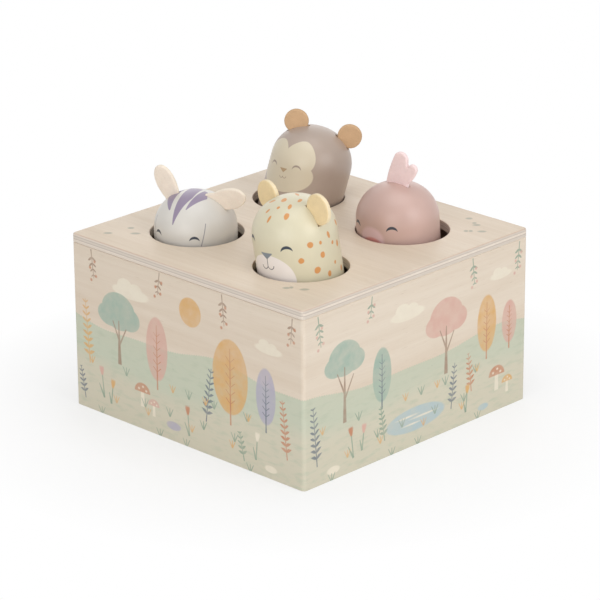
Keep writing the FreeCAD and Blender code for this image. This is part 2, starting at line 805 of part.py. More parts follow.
def make_post(animal):
    """A turned post on the base panel, with the spring's lower spigot."""
    label = f"{animal}_spring_post"
    body = doc.addObject("PartDesign::Body", f"{label}_turning")
    sketch = new_sketch(body, f"{label}_profile", "XZ_Plane")
    bevel = dim["spigot_bevel"]
    flange = dim["post_thick"]
    top = flange + dim["spigot_length"]
    corners = [
        (0, 0),
        (post_radius, 0),
        (post_radius, flange - bevel),
        (post_radius - bevel, flange),
        (spigot_radius, flange),
        (spigot_radius, top - bevel),
        (spigot_radius - bevel, top),
        (0, top),
    ]
    draw_outline(sketch, corners)
    revolve(body, sketch)
    x, y = hole_centre(animal)
    place(body, x, y, dim["base_thick"])
    depth = dim["post_screw_length"] - dim["base_thick"] + dim["screw_head_depth"]
    hole = cylinder(f"{label}_hole", screw_hole, depth, x, y, dim["base_thick"])
    return cut(label, body, [hole])


class Spine:
    """Centre line of a spring from its post to the animal's underside.

    It is straight at both seats, as far as the closed end turns reach, and a cubic
    curve between them.
    """

    def __init__(self, animal):
        x, y = hole_centre(animal)
        placement = figure_placement(animal)
        self.seat = Vector(x.value, y.value, spring_seat.value)
        self.seat_tangent = Vector(0, 0, 1)
        self.end = placement.multVec(Vector(0, 0, -dim["body_drop"].value))
        self.end_tangent = placement.Rotation.multVec(Vector(0, 0, 1))
        self.margin = (dim["spring_wire"] / 2 + dim["coil_gap"]).value
        self.closed = (dim["spring_wire"] + dim["coil_gap"]).value
        self.grip = self.margin + self.closed
        self.lower = self.seat + self.seat_tangent * self.grip
        self.upper = self.end - self.end_tangent * self.grip
        self.bend = (self.upper - self.lower).Length
        self.length = self.bend + 2 * self.grip

    def level(self, turn, turns):
        """Distance along the line after that many turns, with closed end turns."""
        if turn <= 1:
            return self.margin + turn * self.closed
        if turn >= turns - 1:
            return self.length - self.margin - (turns - turn) * self.closed
        return self.grip + (turn - 1) * self.bend / (turns - 2)

    def place(self, distance):
        """Point and direction at a distance along the line."""
        if distance <= self.grip:
            return self.seat + self.seat_tangent * distance, self.seat_tangent
        if distance >= self.length - self.grip:
            return self.end - self.end_tangent * (self.length - distance), self.end_tangent
        t = (distance - self.grip) / self.bend
        leaving = self.seat_tangent * self.bend
        arriving = self.end_tangent * self.bend
        point = self.lower * (2 * t**3 - 3 * t**2 + 1) + self.upper * (3 * t**2 - 2 * t**3)
        point += leaving * (t**3 - 2 * t**2 + t) + arriving * (t**3 - t**2)
        direction = (self.upper - self.lower) * (6 * t - 6 * t**2)
        direction += leaving * (3 * t**2 - 4 * t + 1) + arriving * (3 * t**2 - 2 * t)
        direction.normalize()
        return point, direction


def half_turn(start, end, bulge):
    """Half a turn of wire: half a torus on the line from start to end."""
    centre = (start + end) * 0.5
    radius = (end - start).Length / 2
    first = (start - centre) * (1 / radius)
    normal = first.cross(bulge)
    wire = dim["spring_wire"].value / 2
    shape = Part.makeTorus(radius, wire, Vector(0, 0, 0), Vector(0, 0, 1), -180, 180, 180)
    shape.Placement = frame_at(centre, first, bulge, normal)
    return shape


def make_spring(animal):
    """A coil spring whose axis bends from its post to the leaning animal.

    Each half turn is a half circle of wire. Where two of them meet, on the plane in
    which the animal leans, both run square to that plane, so the wire is smooth.
    """
    spine = Spine(animal)
    turns = round(dim["spring_turns"].value)
    turn = math.radians(ROCK_DIRECTION)
    along = Vector(math.cos(turn), math.sin(turn), 0)
    across = Vector(0, 0, 1).cross(along)
    radius = dim["spring_diameter"].value / 2
    points = []
    for half in range(2 * turns + 1):
        point, direction = spine.place(spine.level(half / 2, turns))
        outward = across.cross(direction)
        outward.normalize()
        side = 1 if half % 2 == 0 else -1
        points.append(point + outward * (radius * side))
    pieces = []
    for number, (start, end) in enumerate(zip(points, points[1:])):
        bulge = across if number % 2 == 0 else across * -1
        pieces.append(half_turn(start, end, bulge))
    wire = pieces[0].multiFuse(pieces[1:])
    return solid_feature(f"{animal}_spring", wire.Solids[0])


# ------------------------------------------------------------------ build and export


def build():
    parts = [make_top_plate()]
    for name, turn in PANELS.items():
        parts.append(make_panel(name, turn))
    parts.append(make_base_panel())
    parts += make_corner_blocks()
    parts.append(make_screws("base_screws", block_screw_places(), dim["block_screw_length"]))
    centres = [hole_centre(animal) for animal in ANIMALS]
    parts.append(make_screws("post_screws", centres, dim["post_screw_length"]))
    for animal in ANIMALS:
        parts.append(make_post(animal))
        parts.append(make_spring(animal))
        parts += make_figure(animal)
    doc.recompute()
    return parts


def check(parts):
    """Stops before anything is written if an object failed or a shape is unsound."""
    for item in doc.Objects:
        if "Invalid" in item.State or "Error" in item.State:
            raise RuntimeError(f"{item.Label} failed: {item.State}")
    labels = [part.Label for part in parts]
    if len(set(labels)) != len(labels):
        raise RuntimeError("two sub-parts share a label")
    for part in parts:
        shape = part.Shape
        if shape.isNull() or not shape.isValid() or not shape.Solids:
            raise RuntimeError(f"{part.Label} has no valid solid")


def export(parts):
    os.makedirs("parts", exist_ok=True)
    for part in parts:
        part.Shape.exportStep(os.path.join("parts", f"{part.Label}.step"))
        solids = len(part.Shape.Solids)
        print(f"{part.Label}: {solids} solid(s), {part.Shape.Volume:.1f} mm3")


sub_parts = build()
check(sub_parts)
export(sub_parts)
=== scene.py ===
"""Looks of the pop up animal toy: materials, felt, springs, floor, light and camera.

Lengths are written in millimetres, in the frame of the solids: +Z up, origin in the
middle of the underside, the animals looking towards -Y. MM turns them into metres.
"""

import functools
import json
import math

import bmesh
import bpy
from mathutils import Matrix, Vector, noise

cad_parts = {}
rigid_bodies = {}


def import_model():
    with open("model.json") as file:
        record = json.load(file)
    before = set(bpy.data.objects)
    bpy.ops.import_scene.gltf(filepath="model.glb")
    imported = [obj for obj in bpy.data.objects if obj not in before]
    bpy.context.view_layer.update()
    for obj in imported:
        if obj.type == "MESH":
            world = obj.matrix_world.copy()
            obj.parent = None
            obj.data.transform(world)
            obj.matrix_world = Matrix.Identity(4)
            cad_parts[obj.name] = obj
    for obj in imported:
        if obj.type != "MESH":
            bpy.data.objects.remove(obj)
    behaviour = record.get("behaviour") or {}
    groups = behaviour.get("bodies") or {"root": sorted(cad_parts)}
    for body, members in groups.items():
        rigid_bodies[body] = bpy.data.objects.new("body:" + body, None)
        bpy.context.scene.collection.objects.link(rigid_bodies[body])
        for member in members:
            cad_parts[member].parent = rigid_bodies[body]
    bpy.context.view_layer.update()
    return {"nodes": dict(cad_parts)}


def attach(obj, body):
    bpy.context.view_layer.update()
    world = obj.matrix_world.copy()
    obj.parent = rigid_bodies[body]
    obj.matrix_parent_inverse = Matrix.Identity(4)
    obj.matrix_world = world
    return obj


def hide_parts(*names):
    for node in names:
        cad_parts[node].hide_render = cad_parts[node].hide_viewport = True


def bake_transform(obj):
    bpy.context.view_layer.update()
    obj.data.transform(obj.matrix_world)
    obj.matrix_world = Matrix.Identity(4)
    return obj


MM = 0.001
UP = Vector((0, 0, 1))
TOY_FRAME = Matrix.Identity(4)

for thing in list(bpy.data.objects):
    bpy.data.objects.remove(thing)
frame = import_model()
nodes = frame["nodes"]

# ------------------------------------------------------------------------------ sizes

BOX_WIDTH = 160.0
BOX_HEIGHT = 91.5
PLATE_THICK = 4.8
HOLE_PITCH = 72.0
PIVOT_HEIGHT = BOX_HEIGHT - PLATE_THICK / 2
ROCK_DIRECTION = 45.0

HEAD_RADIUS = 20.75
CROWN_RADIUS = 24.0
SHOULDER_RADIUS = 18.0
BODY_DROP = 28.0

SPRING_RADIUS = 8.5
SPRING_WIRE = 1.4
SPRING_TURNS = 8
COIL_GAP = 0.15
SPRING_SEAT = 9.0
STEPS_PER_TURN = 40
SPLIT_TURN = 1.5
WIRE_SIDES = 12

FELT_SEAT = 5.0
FELT_EDGE = 0.81
FELT_DOME = 0.12

# Column and row of the hole, height of the crown over the plate's middle, lean and
# offset along the diagonal, and the turn from looking straight ahead.
ANIMALS = {
    "leopard": dict(column=1, row=-1, crown=38.2, lean=-7.4, shift=-0.4, turn=-2.0),
    "zebra": dict(column=-1, row=-1, crown=23.4, lean=0.0, shift=-0.6, turn=13.0),
    "bird": dict(column=1, row=1, crown=27.1, lean=-3.3, shift=-2.0, turn=7.0),
    "monkey": dict(column=-1, row=1, crown=40.5, lean=14.8, shift=1.0, turn=8.0),
}
# Flat sizes of the ears, how they stand on the head, and how far the felt swells over
# its solid at each side. A leaf's root swells by as much.
EARS = {
    "leopard": dict(
        width=14.8, length=12.1, thick=2.6, fuller=0.35, drop=7.0, lean=44.0,
        droop=0.0, back=4.5, turn=-5.0, twist=0.0, side=0.3,
    ),
    "monkey": dict(
        width=12.2, length=9.9, thick=2.6, fuller=0.1, drop=3.1, lean=38.0,
        droop=0.0, back=2.0, turn=28.0, twist=0.0, side=1.4,
    ),
    "zebra": dict(
        width=10.2, length=16.6, thick=2.2, fuller=0.45, drop=3.4, lean=50.4,
        droop=23.8, back=-1.8, turn=7.6, twist=8.5, side=-0.2,
    ),
}
LEAF_ROOT = 7.8
LEAF_WIDEST_AT = 0.46
LEAF_BLUNTER = 0.5
COMB_THICK = 2.4
COMB_ROOT = (-4.2, 7.0)
COMB_LOBES = (((4.3, 12.2), 4.0), ((11.0, 8.0), 2.6))
COMB_NOTCH = (7.2, 8.8)
COMB_FULLER = 0.8
COMB_SWELL = 0.45
SIDES = {"left": -1, "right": 1}

# ------------------------------------------------------------- frames of the animals


def cos_sin(degrees):
    angle = math.radians(degrees)
    return math.cos(angle), math.sin(angle)


def turned(u, v, cosine, sine):
    """Two coordinates, numbers or fields, in axes that are turned anticlockwise."""
    return u * cosine + v * sine, v * cosine - u * sine


DIAGONAL = Vector((*cos_sin(ROCK_DIRECTION), 0))


def head_frame(animal):
    """Matrix, in millimetres, from the animal's own frame to the toy's."""
    facts = ANIMALS[animal]
    half = HOLE_PITCH / 2
    place = Vector((facts["column"] * half, facts["row"] * half, PIVOT_HEIGHT))
    place += DIAGONAL * facts["shift"]
    lean = Matrix.Rotation(math.radians(facts["lean"]), 4, UP.cross(DIAGONAL))
    turn = Matrix.Rotation(math.radians(facts["turn"]), 4, UP)
    return Matrix.Translation(place) @ lean @ turn


# A dome has a crown arc and, outside it, a shoulder arc: how far out and how deep the
# shoulder's centre lies, and the depth of the seam between the arcs.
SHOULDER_OUT = HEAD_RADIUS - SHOULDER_RADIUS
BETWEEN_CENTRES = CROWN_RADIUS - SHOULDER_RADIUS
CENTRE_RISE = math.sqrt(BETWEEN_CENTRES**2 - SHOULDER_OUT**2)
SHOULDER_DEPTH = CROWN_RADIUS - CENTRE_RISE
SEAM_DEPTH = CROWN_RADIUS - CROWN_RADIUS * CENTRE_RISE / BETWEEN_CENTRES


def dome_radius(drop):
    """Radius of a head at a depth under the top of its dome."""
    if drop <= SEAM_DEPTH:
        return math.sqrt(CROWN_RADIUS**2 - (CROWN_RADIUS - drop) ** 2)
    if drop <= SHOULDER_DEPTH:
        under = SHOULDER_DEPTH - drop
        return SHOULDER_OUT + math.sqrt(SHOULDER_RADIUS**2 - under**2)
    return HEAD_RADIUS


def axes(origin, across, through, along):
    """Matrix of a frame from its origin and its X, Y and Z axes."""
    matrix = Matrix((across, through, along)).transposed().to_4x4()
    matrix.translation = origin
    return matrix


def skin_frame(animal, drop, azimuth, roll):
    """Frame on a head's skin: +X to the animal's right seen from the front, +Y up
    the dome, +Z out of it. Azimuth 0 is the animal's +X side and -90 its face."""
    outward = Vector((*cos_sin(azimuth), 0))
    step = 0.05
    above = max(drop - step, 0.0)
    below = drop + step
    climb = outward * (dome_radius(above) - dome_radius(below)) + UP * (below - above)
    climb.normalize()
    side = UP.cross(outward)
    place = outward * dome_radius(drop) + UP * (ANIMALS[animal]["crown"] - drop)
    local = axes(place, side, climb, side.cross(climb))
    return head_frame(animal) @ local @ Matrix.Rotation(math.radians(roll), 4, "Z")


def ear_frame(animal, side):
    """Frame of an ear: +Z along the ear, +Y through its back."""
    facts = EARS[animal]
    back = math.radians(facts["back"])
    pair = Matrix.Rotation(math.radians(facts["turn"]), 3, UP)
    outward = pair @ Vector((side * math.cos(back), math.sin(back), 0))
    lean = math.radians(facts["lean"] + facts["droop"] * side)
    along = outward * math.sin(lean) + UP * math.cos(lean)
    rear = pair @ Vector((0, 1, 0))
    through = (rear - along * along.dot(rear)).normalized()
    root = outward * dome_radius(facts["drop"])
    root += pair @ Vector((facts["side"], 0, 0))
    root += UP * (ANIMALS[animal]["crown"] - facts["drop"])
    twist = Matrix.Rotation(math.radians(facts["twist"] * side), 4, "Z")
    return head_frame(animal) @ axes(root, through.cross(along), through, along) @ twist


# -------------------------------------------------------------- materials from fields


def linear(colour):
    """An sRGB colour, 0 to 255 a channel, as the linear colour that shaders take."""
    channels = []
    for value in colour:
        share = value / 255
        low = share / 12.92
        channels.append(low if share <= 0.04045 else ((share + 0.055) / 1.055) ** 2.4)
    return (*channels, 1.0)


def feed(tree, slot, value):
    """Links a field or a socket to an input, or sets a plain value on it."""
    if isinstance(value, Field):
        tree.links.new(value.socket, slot)
    elif isinstance(value, bpy.types.NodeSocket):
        tree.links.new(value, slot)
    else:
        slot.default_value = value


def new_node(tree, kind, *values, **settings):
    """A node with its settings, and its first inputs fed."""
    node = tree.nodes.new(kind)
    for label, value in settings.items():
        setattr(node, label, value)
    for slot, value in zip(node.inputs, values):
        feed(tree, slot, value)
    return node


class Field:
    """A number that varies over a surface: a shader node's output, with arithmetic."""

    def __init__(self, tree, socket):
        self.tree = tree
        self.socket = socket

    def math(self, operation, *others):
        node = new_node(self.tree, "ShaderNodeMath", self, *others, operation=operation)
        return Field(self.tree, node.outputs[0])

    def __add__(self, other):
        return self.math("ADD", other)

    def __sub__(self, other):
        return self.math("SUBTRACT", other)

    def __mul__(self, other):
        return self.math("MULTIPLY", other)

    def __truediv__(self, other):
        return self.math("DIVIDE", other)

    def __neg__(self):
        return self.math("MULTIPLY", -1.0)

    def __abs__(self):
        return self.math("ABSOLUTE")

    def sine(self):
        return self.math("SINE")

    def both(self, other):
        """Both masks at once."""
        return self * other

    def either(self, other):
        """One mask or the other."""
        return self.math("MAXIMUM", other)

    def without(self, other):
        """This mask where the other isn't."""
        return self * (-other + 1.0)

    def remap(self, low, high, to_low=0.0, to_high=1.0):
        """Maps low..high to to_low..to_high and holds the ends."""
        values = (self, low, high, to_low, to_high)
        node = new_node(self.tree, "ShaderNodeMapRange", *values)
        return Field(self.tree, node.outputs[0])

    def under(self, limit, soft):
        """A mask where the field is under a limit, with an edge that soft."""
        return self.remap(limit - soft / 2, limit + soft / 2, 1.0, 0.0)

    def over(self, limit, soft):
        return self.remap(limit - soft / 2, limit + soft / 2)


def any_of(masks):
    """Where any of the masks is."""
    return functools.reduce(Field.either, masks)


class Board:
    """Fields, vectors and colours that are made in one node tree."""

    def __init__(self, tree):
        self.tree = tree

    def new(self, kind, *values, **settings):
        return new_node(self.tree, kind, *values, **settings)

    def parts(self, vector):
        node = self.new("ShaderNodeSeparateXYZ", vector)
        return [Field(self.tree, out) for out in node.outputs]

    def length(self, vector):
        node = self.new("ShaderNodeVectorMath", vector, operation="LENGTH")
        return Field(self.tree, node.outputs["Value"])

    def joined(self, x, y, z=0.0):
        return self.new("ShaderNodeCombineXYZ", x, y, z).outputs[0]

    def noise(self, vector, scale, detail=3.0, roughness=0.55):
        """Noise from 0 to 1, with that many waves to a unit of the vector."""
        node = self.new("ShaderNodeTexNoise", vector)
        node.inputs["Scale"].default_value = scale
        node.inputs["Detail"].default_value = detail
        node.inputs["Roughness"].default_value = roughness
        return Field(self.tree, node.outputs[0])

    def mix(self, under, over, share):
        """One colour over another; a colour is a socket or an sRGB triple."""
        node = self.new("ShaderNodeMix", share, data_type="RGBA")
        for slot, colour in ((node.inputs[6], under), (node.inputs[7], over)):
            plain = isinstance(colour, tuple)
            feed(self.tree, slot, linear(colour) if plain else colour)
        return node.outputs[2]

    def coats(self, colour, *coats):
        """Coats over a colour, each with its own colour and where it is."""
        for coat, share in coats:
            colour = self.mix(colour, coat, share)
        return colour

    def choice(self, share, plain, shown):
        """One shader or, by a share, the other."""
        return self.new("ShaderNodeMixShader", share, plain, shown).outputs[0]


class Paint(Board):
    """A material in the making: its tree, its shader, and fields over its surface."""

    def __init__(self, name, roughness, **settings):
        self.material = bpy.data.materials.new(name)
        self.material.use_nodes = True
        super().__init__(self.material.node_tree)
        self.shader = self.tree.nodes["Principled BSDF"]
        self.shader.inputs["Roughness"].default_value = roughness
        for label, value in settings.items():
            self.shader.inputs[label.replace("_", " ")].default_value = value
        self.place = self.new("ShaderNodeTexCoord").outputs["Object"]
        self.bumps = None

    def inside(self, frame_mm=TOY_FRAME, stretch=(1, 1, 1)):
        """The place in a frame that is given in millimetres, over stretch."""
        node = self.new("ShaderNodeMapping", self.place, vector_type="TEXTURE")
        node.inputs["Location"].default_value = frame_mm.translation * MM
        node.inputs["Rotation"].default_value = frame_mm.to_euler()
        node.inputs["Scale"].default_value = [size * MM for size in stretch]
        return node.outputs["Vector"]

    def bump(self, height, depth):
        """Adds relief: height is a field from 0 to 1 and depth is in millimetres."""
        node = self.new("ShaderNodeBump")
        node.inputs["Strength"].default_value = 1.0
        node.inputs["Distance"].default_value = depth * MM
        feed(self.tree, node.inputs["Height"], height)
        if self.bumps is not None:
            self.tree.links.new(self.bumps, node.inputs["Normal"])
        self.bumps = node.outputs["Normal"]

    def finish(self, colour, roughness=None):
        feed(self.tree, self.shader.inputs["Base Color"], colour)
        if roughness is not None:
            feed(self.tree, self.shader.inputs["Roughness"], roughness)
        if self.bumps is not None:
            self.tree.links.new(self.bumps, self.shader.inputs["Normal"])
        return self.material


PLACING = ("u", "v", "at u", "at v", "cosine", "sine")


class Stamp(Board):
    """A mask that is drawn many times: a node group with its own inputs. Its inputs
    for place and turn come first, and x and y are the place in its turned axes."""

    def __init__(self, name, *labels):
        super().__init__(bpy.data.node_groups.new(name, "ShaderNodeTree"))
        labels = PLACING + labels
        sockets = self.tree.interface
        for label in labels:
            sockets.new_socket(label, in_out="INPUT", socket_type="NodeSocketFloat")
        sockets.new_socket("mask", in_out="OUTPUT", socket_type="NodeSocketFloat")
        start = self.new("NodeGroupInput")
        fields = [Field(self.tree, start.outputs[label]) for label in labels]
        u, v, at_u, at_v, cosine, sine, *self.inputs = fields
        self.x, self.y = turned(u - at_u, v - at_v, cosine, sine)

    def finish(self, mask):
        self.new("NodeGroupOutput", mask)
        return self

    def on(self, tree, *values):
        node = new_node(tree, "ShaderNodeGroup", *values, node_tree=self.tree)
        return Field(tree, node.outputs[0])


def dress(node, material):
    """Gives a CAD node its material."""
    slots = nodes[node].data.materials
    slots.clear()
    slots.append(material)


def new_object(name, data):
    """An object of that data, in the scene."""
    thing = bpy.data.objects.new(name, data)
    bpy.context.scene.collection.objects.link(thing)
    return thing


# ------------------------------------------------------------------------ bare woods


def drawn_out(paint, wide, long, along):
    """The place, over a size across the grain and another along it."""
    return paint.inside(stretch=[long if axis == along else wide for axis in "XYZ"])


def wood_colour(paint, light, dark, pore, along):
    """Birch or beech: broad and fine streaks between two colours, and short dark pores
    along the grain. Also gives the share of the darker colour."""
    grain = drawn_out(paint, 3.0, 60.0, along)
    broad = paint.noise(grain, 0.25, detail=2.0)
    streaks = paint.noise(grain, 1.6, detail=5.0, roughness=0.65)
    share = broad.remap(0.3, 0.7) * 0.55 + streaks.remap(0.3, 0.75) * 0.45
    marks = paint.noise(drawn_out(paint, 0.5, 7.0, along), 1.0, detail=1.0)
    marks = marks.remap(0.66, 0.8)
    paint.bump(streaks, 0.05)
    paint.bump(-marks, 0.04)
    return paint.coats(light, (dark, share), (pore, marks * 0.35)), share


def make_top_plate():
    paint = Paint("top_plate_birch", 0.5, Specular_IOR_Level=0.35)
    colour, share = wood_colour(
        paint, (228, 213, 194), (214, 196, 174), (184, 160, 136), "X"
    )
    x, _, z = paint.parts(paint.inside())
    sides = abs(x).over(BOX_WIDTH / 2 - 0.6, 0.2)
    end_grain = abs(sides - abs(z - CORE_HEIGHT).under(CORE_THICK / 2, 0.3))
    # Painted shade: a dark line along the bottom of the edge, where the plate sits on the
    # panels, stands in for the shadow in that seam. It goes into the glue lines' mask, so
    # it takes their colour and their dent.
    seam_shade = z.under(BOX_HEIGHT - PLATE_THICK + 0.3, 0.3).without(sides) * 0.6
    lines = [
        abs(z - height).under(0.25, 0.35) * strength for height, strength in GLUE_LINES
    ]
    glue = any_of([seam_shade, *lines])
    arris = z.over(BOX_HEIGHT - 0.5, 0.2)
    edge = paint.coats(
        (239, 228, 214),
        ((227, 213, 198), share),
        ((217, 206, 193), end_grain * 0.85),
        ((178, 163, 154), glue),
        ((205, 178, 160), arris * 0.85),
    )
    paint.bump(-glue, 0.1)
    colour = paint.coats(
        edge,
        (colour, z.over(BOX_HEIGHT - 0.2, 0.2)),
        ((164, 163, 147), corner_leaves(paint) * 0.75),
    )
    dress("top_plate", paint.finish(colour, share.remap(0, 1, 0.42, 0.55)))


# Glue lines in the top plate's edge, each with its height and how much it shows, and
# the core between them. The core's grain crosses the outer plies', so its edge is dark
# in front and behind, where theirs is light, and light at the sides.
GLUE_LINES = ((90.75, 0.2), (90.1, 0.5), (88.6, 0.55), (87.6, 0.15))
CORE_HEIGHT = 89.35
CORE_THICK = 1.5
BASE_PLY = 1.0
BASE_RIM = (0.2, 4.8)
# Printed leaves near the corners of the top plate: middle and length.
CORNER_LEAVES = [
    (-65.9, -68.4, 4.2), (-63.1, -55.5, 3.2), (-55.5, -59.5, 4.7),
    (52.7, -63.1, 3.5), (53.9, -61.1, 2.0), (60.3, -58.7, 4.4),
    (49.8, 70.2, 3.3), (56.3, 66.9, 2.2), (59.0, 65.4, 3.8),
    (61.1, 55.1, 2.2), (62.8, 56.7, 2.0), (67.3, 60.0, 4.2),
    (-66.0, 67.0, 4.0), (-57.0, 62.5, 3.5), (-64.5, 55.5, 3.0),
]
LEAF_TURN = 43.0
LEAF_HALF_WIDTH = 1.35


def corner_leaves(paint):
    """Small printed leaves, all lying the same way."""
    turn = Matrix.Rotation(math.radians(LEAF_TURN), 4, "Z")
    leaves = []
    for x, y, length in CORNER_LEAVES:
        lay = Matrix.Translation((x, y, BOX_HEIGHT)) @ turn
        flat = paint.inside(lay, (length / 2, LEAF_HALF_WIDTH, 1.0))
        leaves.append(paint.length(flat).under(1.0, 0.6))
    return any_of(leaves)


def make_plain_woods():
    paint = Paint("base_plywood", 0.62)
    colour, _ = wood_colour(
        paint, (222, 203, 176), (205, 182, 152), (170, 142, 112), "X"
    )
    z = paint.parts(paint.inside())[2]
    wave = (z * (2 * math.pi / BASE_PLY) + math.pi / 2).sine()
    rim = z.over(BASE_RIM[0], 0.1).both(z.under(BASE_RIM[1], 0.1))
    glue = wave.over(0.56, 0.5).both(rim)
    dress("base_panel", paint.finish(paint.mix(colour, (160, 134, 106), glue * 0.6)))

    paint = Paint("beech_turned_and_sawn", 0.55)
    colour, share = wood_colour(
        paint, (219, 187, 152), (198, 162, 124), (150, 112, 82), "Z"
    )
    beech = paint.finish(colour, share.remap(0, 1, 0.48, 0.6))
    for name in nodes:
        if name.startswith("corner_block") or name.endswith("spring_post"):
            dress(name, beech)


# ------------------------------------------------------------------------- the print

PRINT = {
    "sage": (158, 182, 168),
    "leaf": (138, 160, 140),
    "pink": (216, 172, 158),
    "ochre": (219, 172, 108),
    "rust": (196, 132, 98),
    "slate": (104, 116, 128),
    "lilac": (176, 172, 192),
    "cream": (238, 229, 210),
    "bark": (160, 132, 112),
    "water": (176, 197, 203),
}


def make_blot():
    """An ellipse with an uneven edge."""
    stamp = Stamp("blot", "rough", "half wide", "half high")
    rough, wide, high = stamp.inputs
    away = stamp.length(stamp.joined(stamp.x / wide, stamp.y / high))
    beyond = (away - 1.0) * wide.math("MINIMUM", high)
    return stamp.finish((beyond + rough * 0.4).under(0.0, 0.5))


def make_line():
    """A stroke that leaves a point and tapers."""
    stamp = Stamp("line", "rough", "length", "wide", "tip")
    rough, length, wide, tip = stamp.inputs
    half = stamp.y.remap(0.0, length, wide, tip)
    near = (abs(stamp.x) - half + rough * 0.3).under(0.0, 0.3)
    return stamp.finish(near.both(grown(stamp.y, 0.0, 0.4, length)))


def make_leaves():
    """Pairs of leaves up a stem, each a narrow ellipse, smaller towards the tip."""
    stamp = Stamp(
        "leaves", "length", "leaf long", "leaf wide", "spacing",
        "tilt cosine", "tilt sine", "taper",
    )
    length, long, wide, spacing, lean, rise, taper = stamp.inputs
    y = stamp.y
    shrink = y.remap(0.0, length, 1.0, taper)
    cell = (y / spacing).math("FRACT") * spacing - spacing * 0.35
    out = abs(stamp.x)
    along = out * lean + cell * rise - shrink * long
    across = cell * lean - out * rise
    away = stamp.length(stamp.joined(along / (shrink * long), across / (shrink * wide)))
    return stamp.finish(away.under(1.0, 0.3).both(grown(y, spacing, 0.2, length)))


def grown(y, first, soft, length):
    """Where a stem stands, from its first height to its tip."""
    return (y - first).over(0.0, soft).both((y - length).under(0.0, 0.4))


BLOT = make_blot()
LINE = make_line()
LEAVES = make_leaves()

# Blots in one: how far across and up each is, and its half sizes, as shares of a size.
CROWN = ((0, 0, 1, 0.82), (-0.55, -0.25, 0.7, 0.5), (0.6, -0.2, 0.66, 0.52))
CLOUD = ((0, 0, 1, 0.26), (-0.3, 0.2, 0.42, 0.32), (0.28, 0.16, 0.36, 0.26))
DOTS = [
    (across, up, 0.075, 0.065) for across, up in ((-0.28, 0.18), (0.05, 0.34), (0.3, 0.14))
]


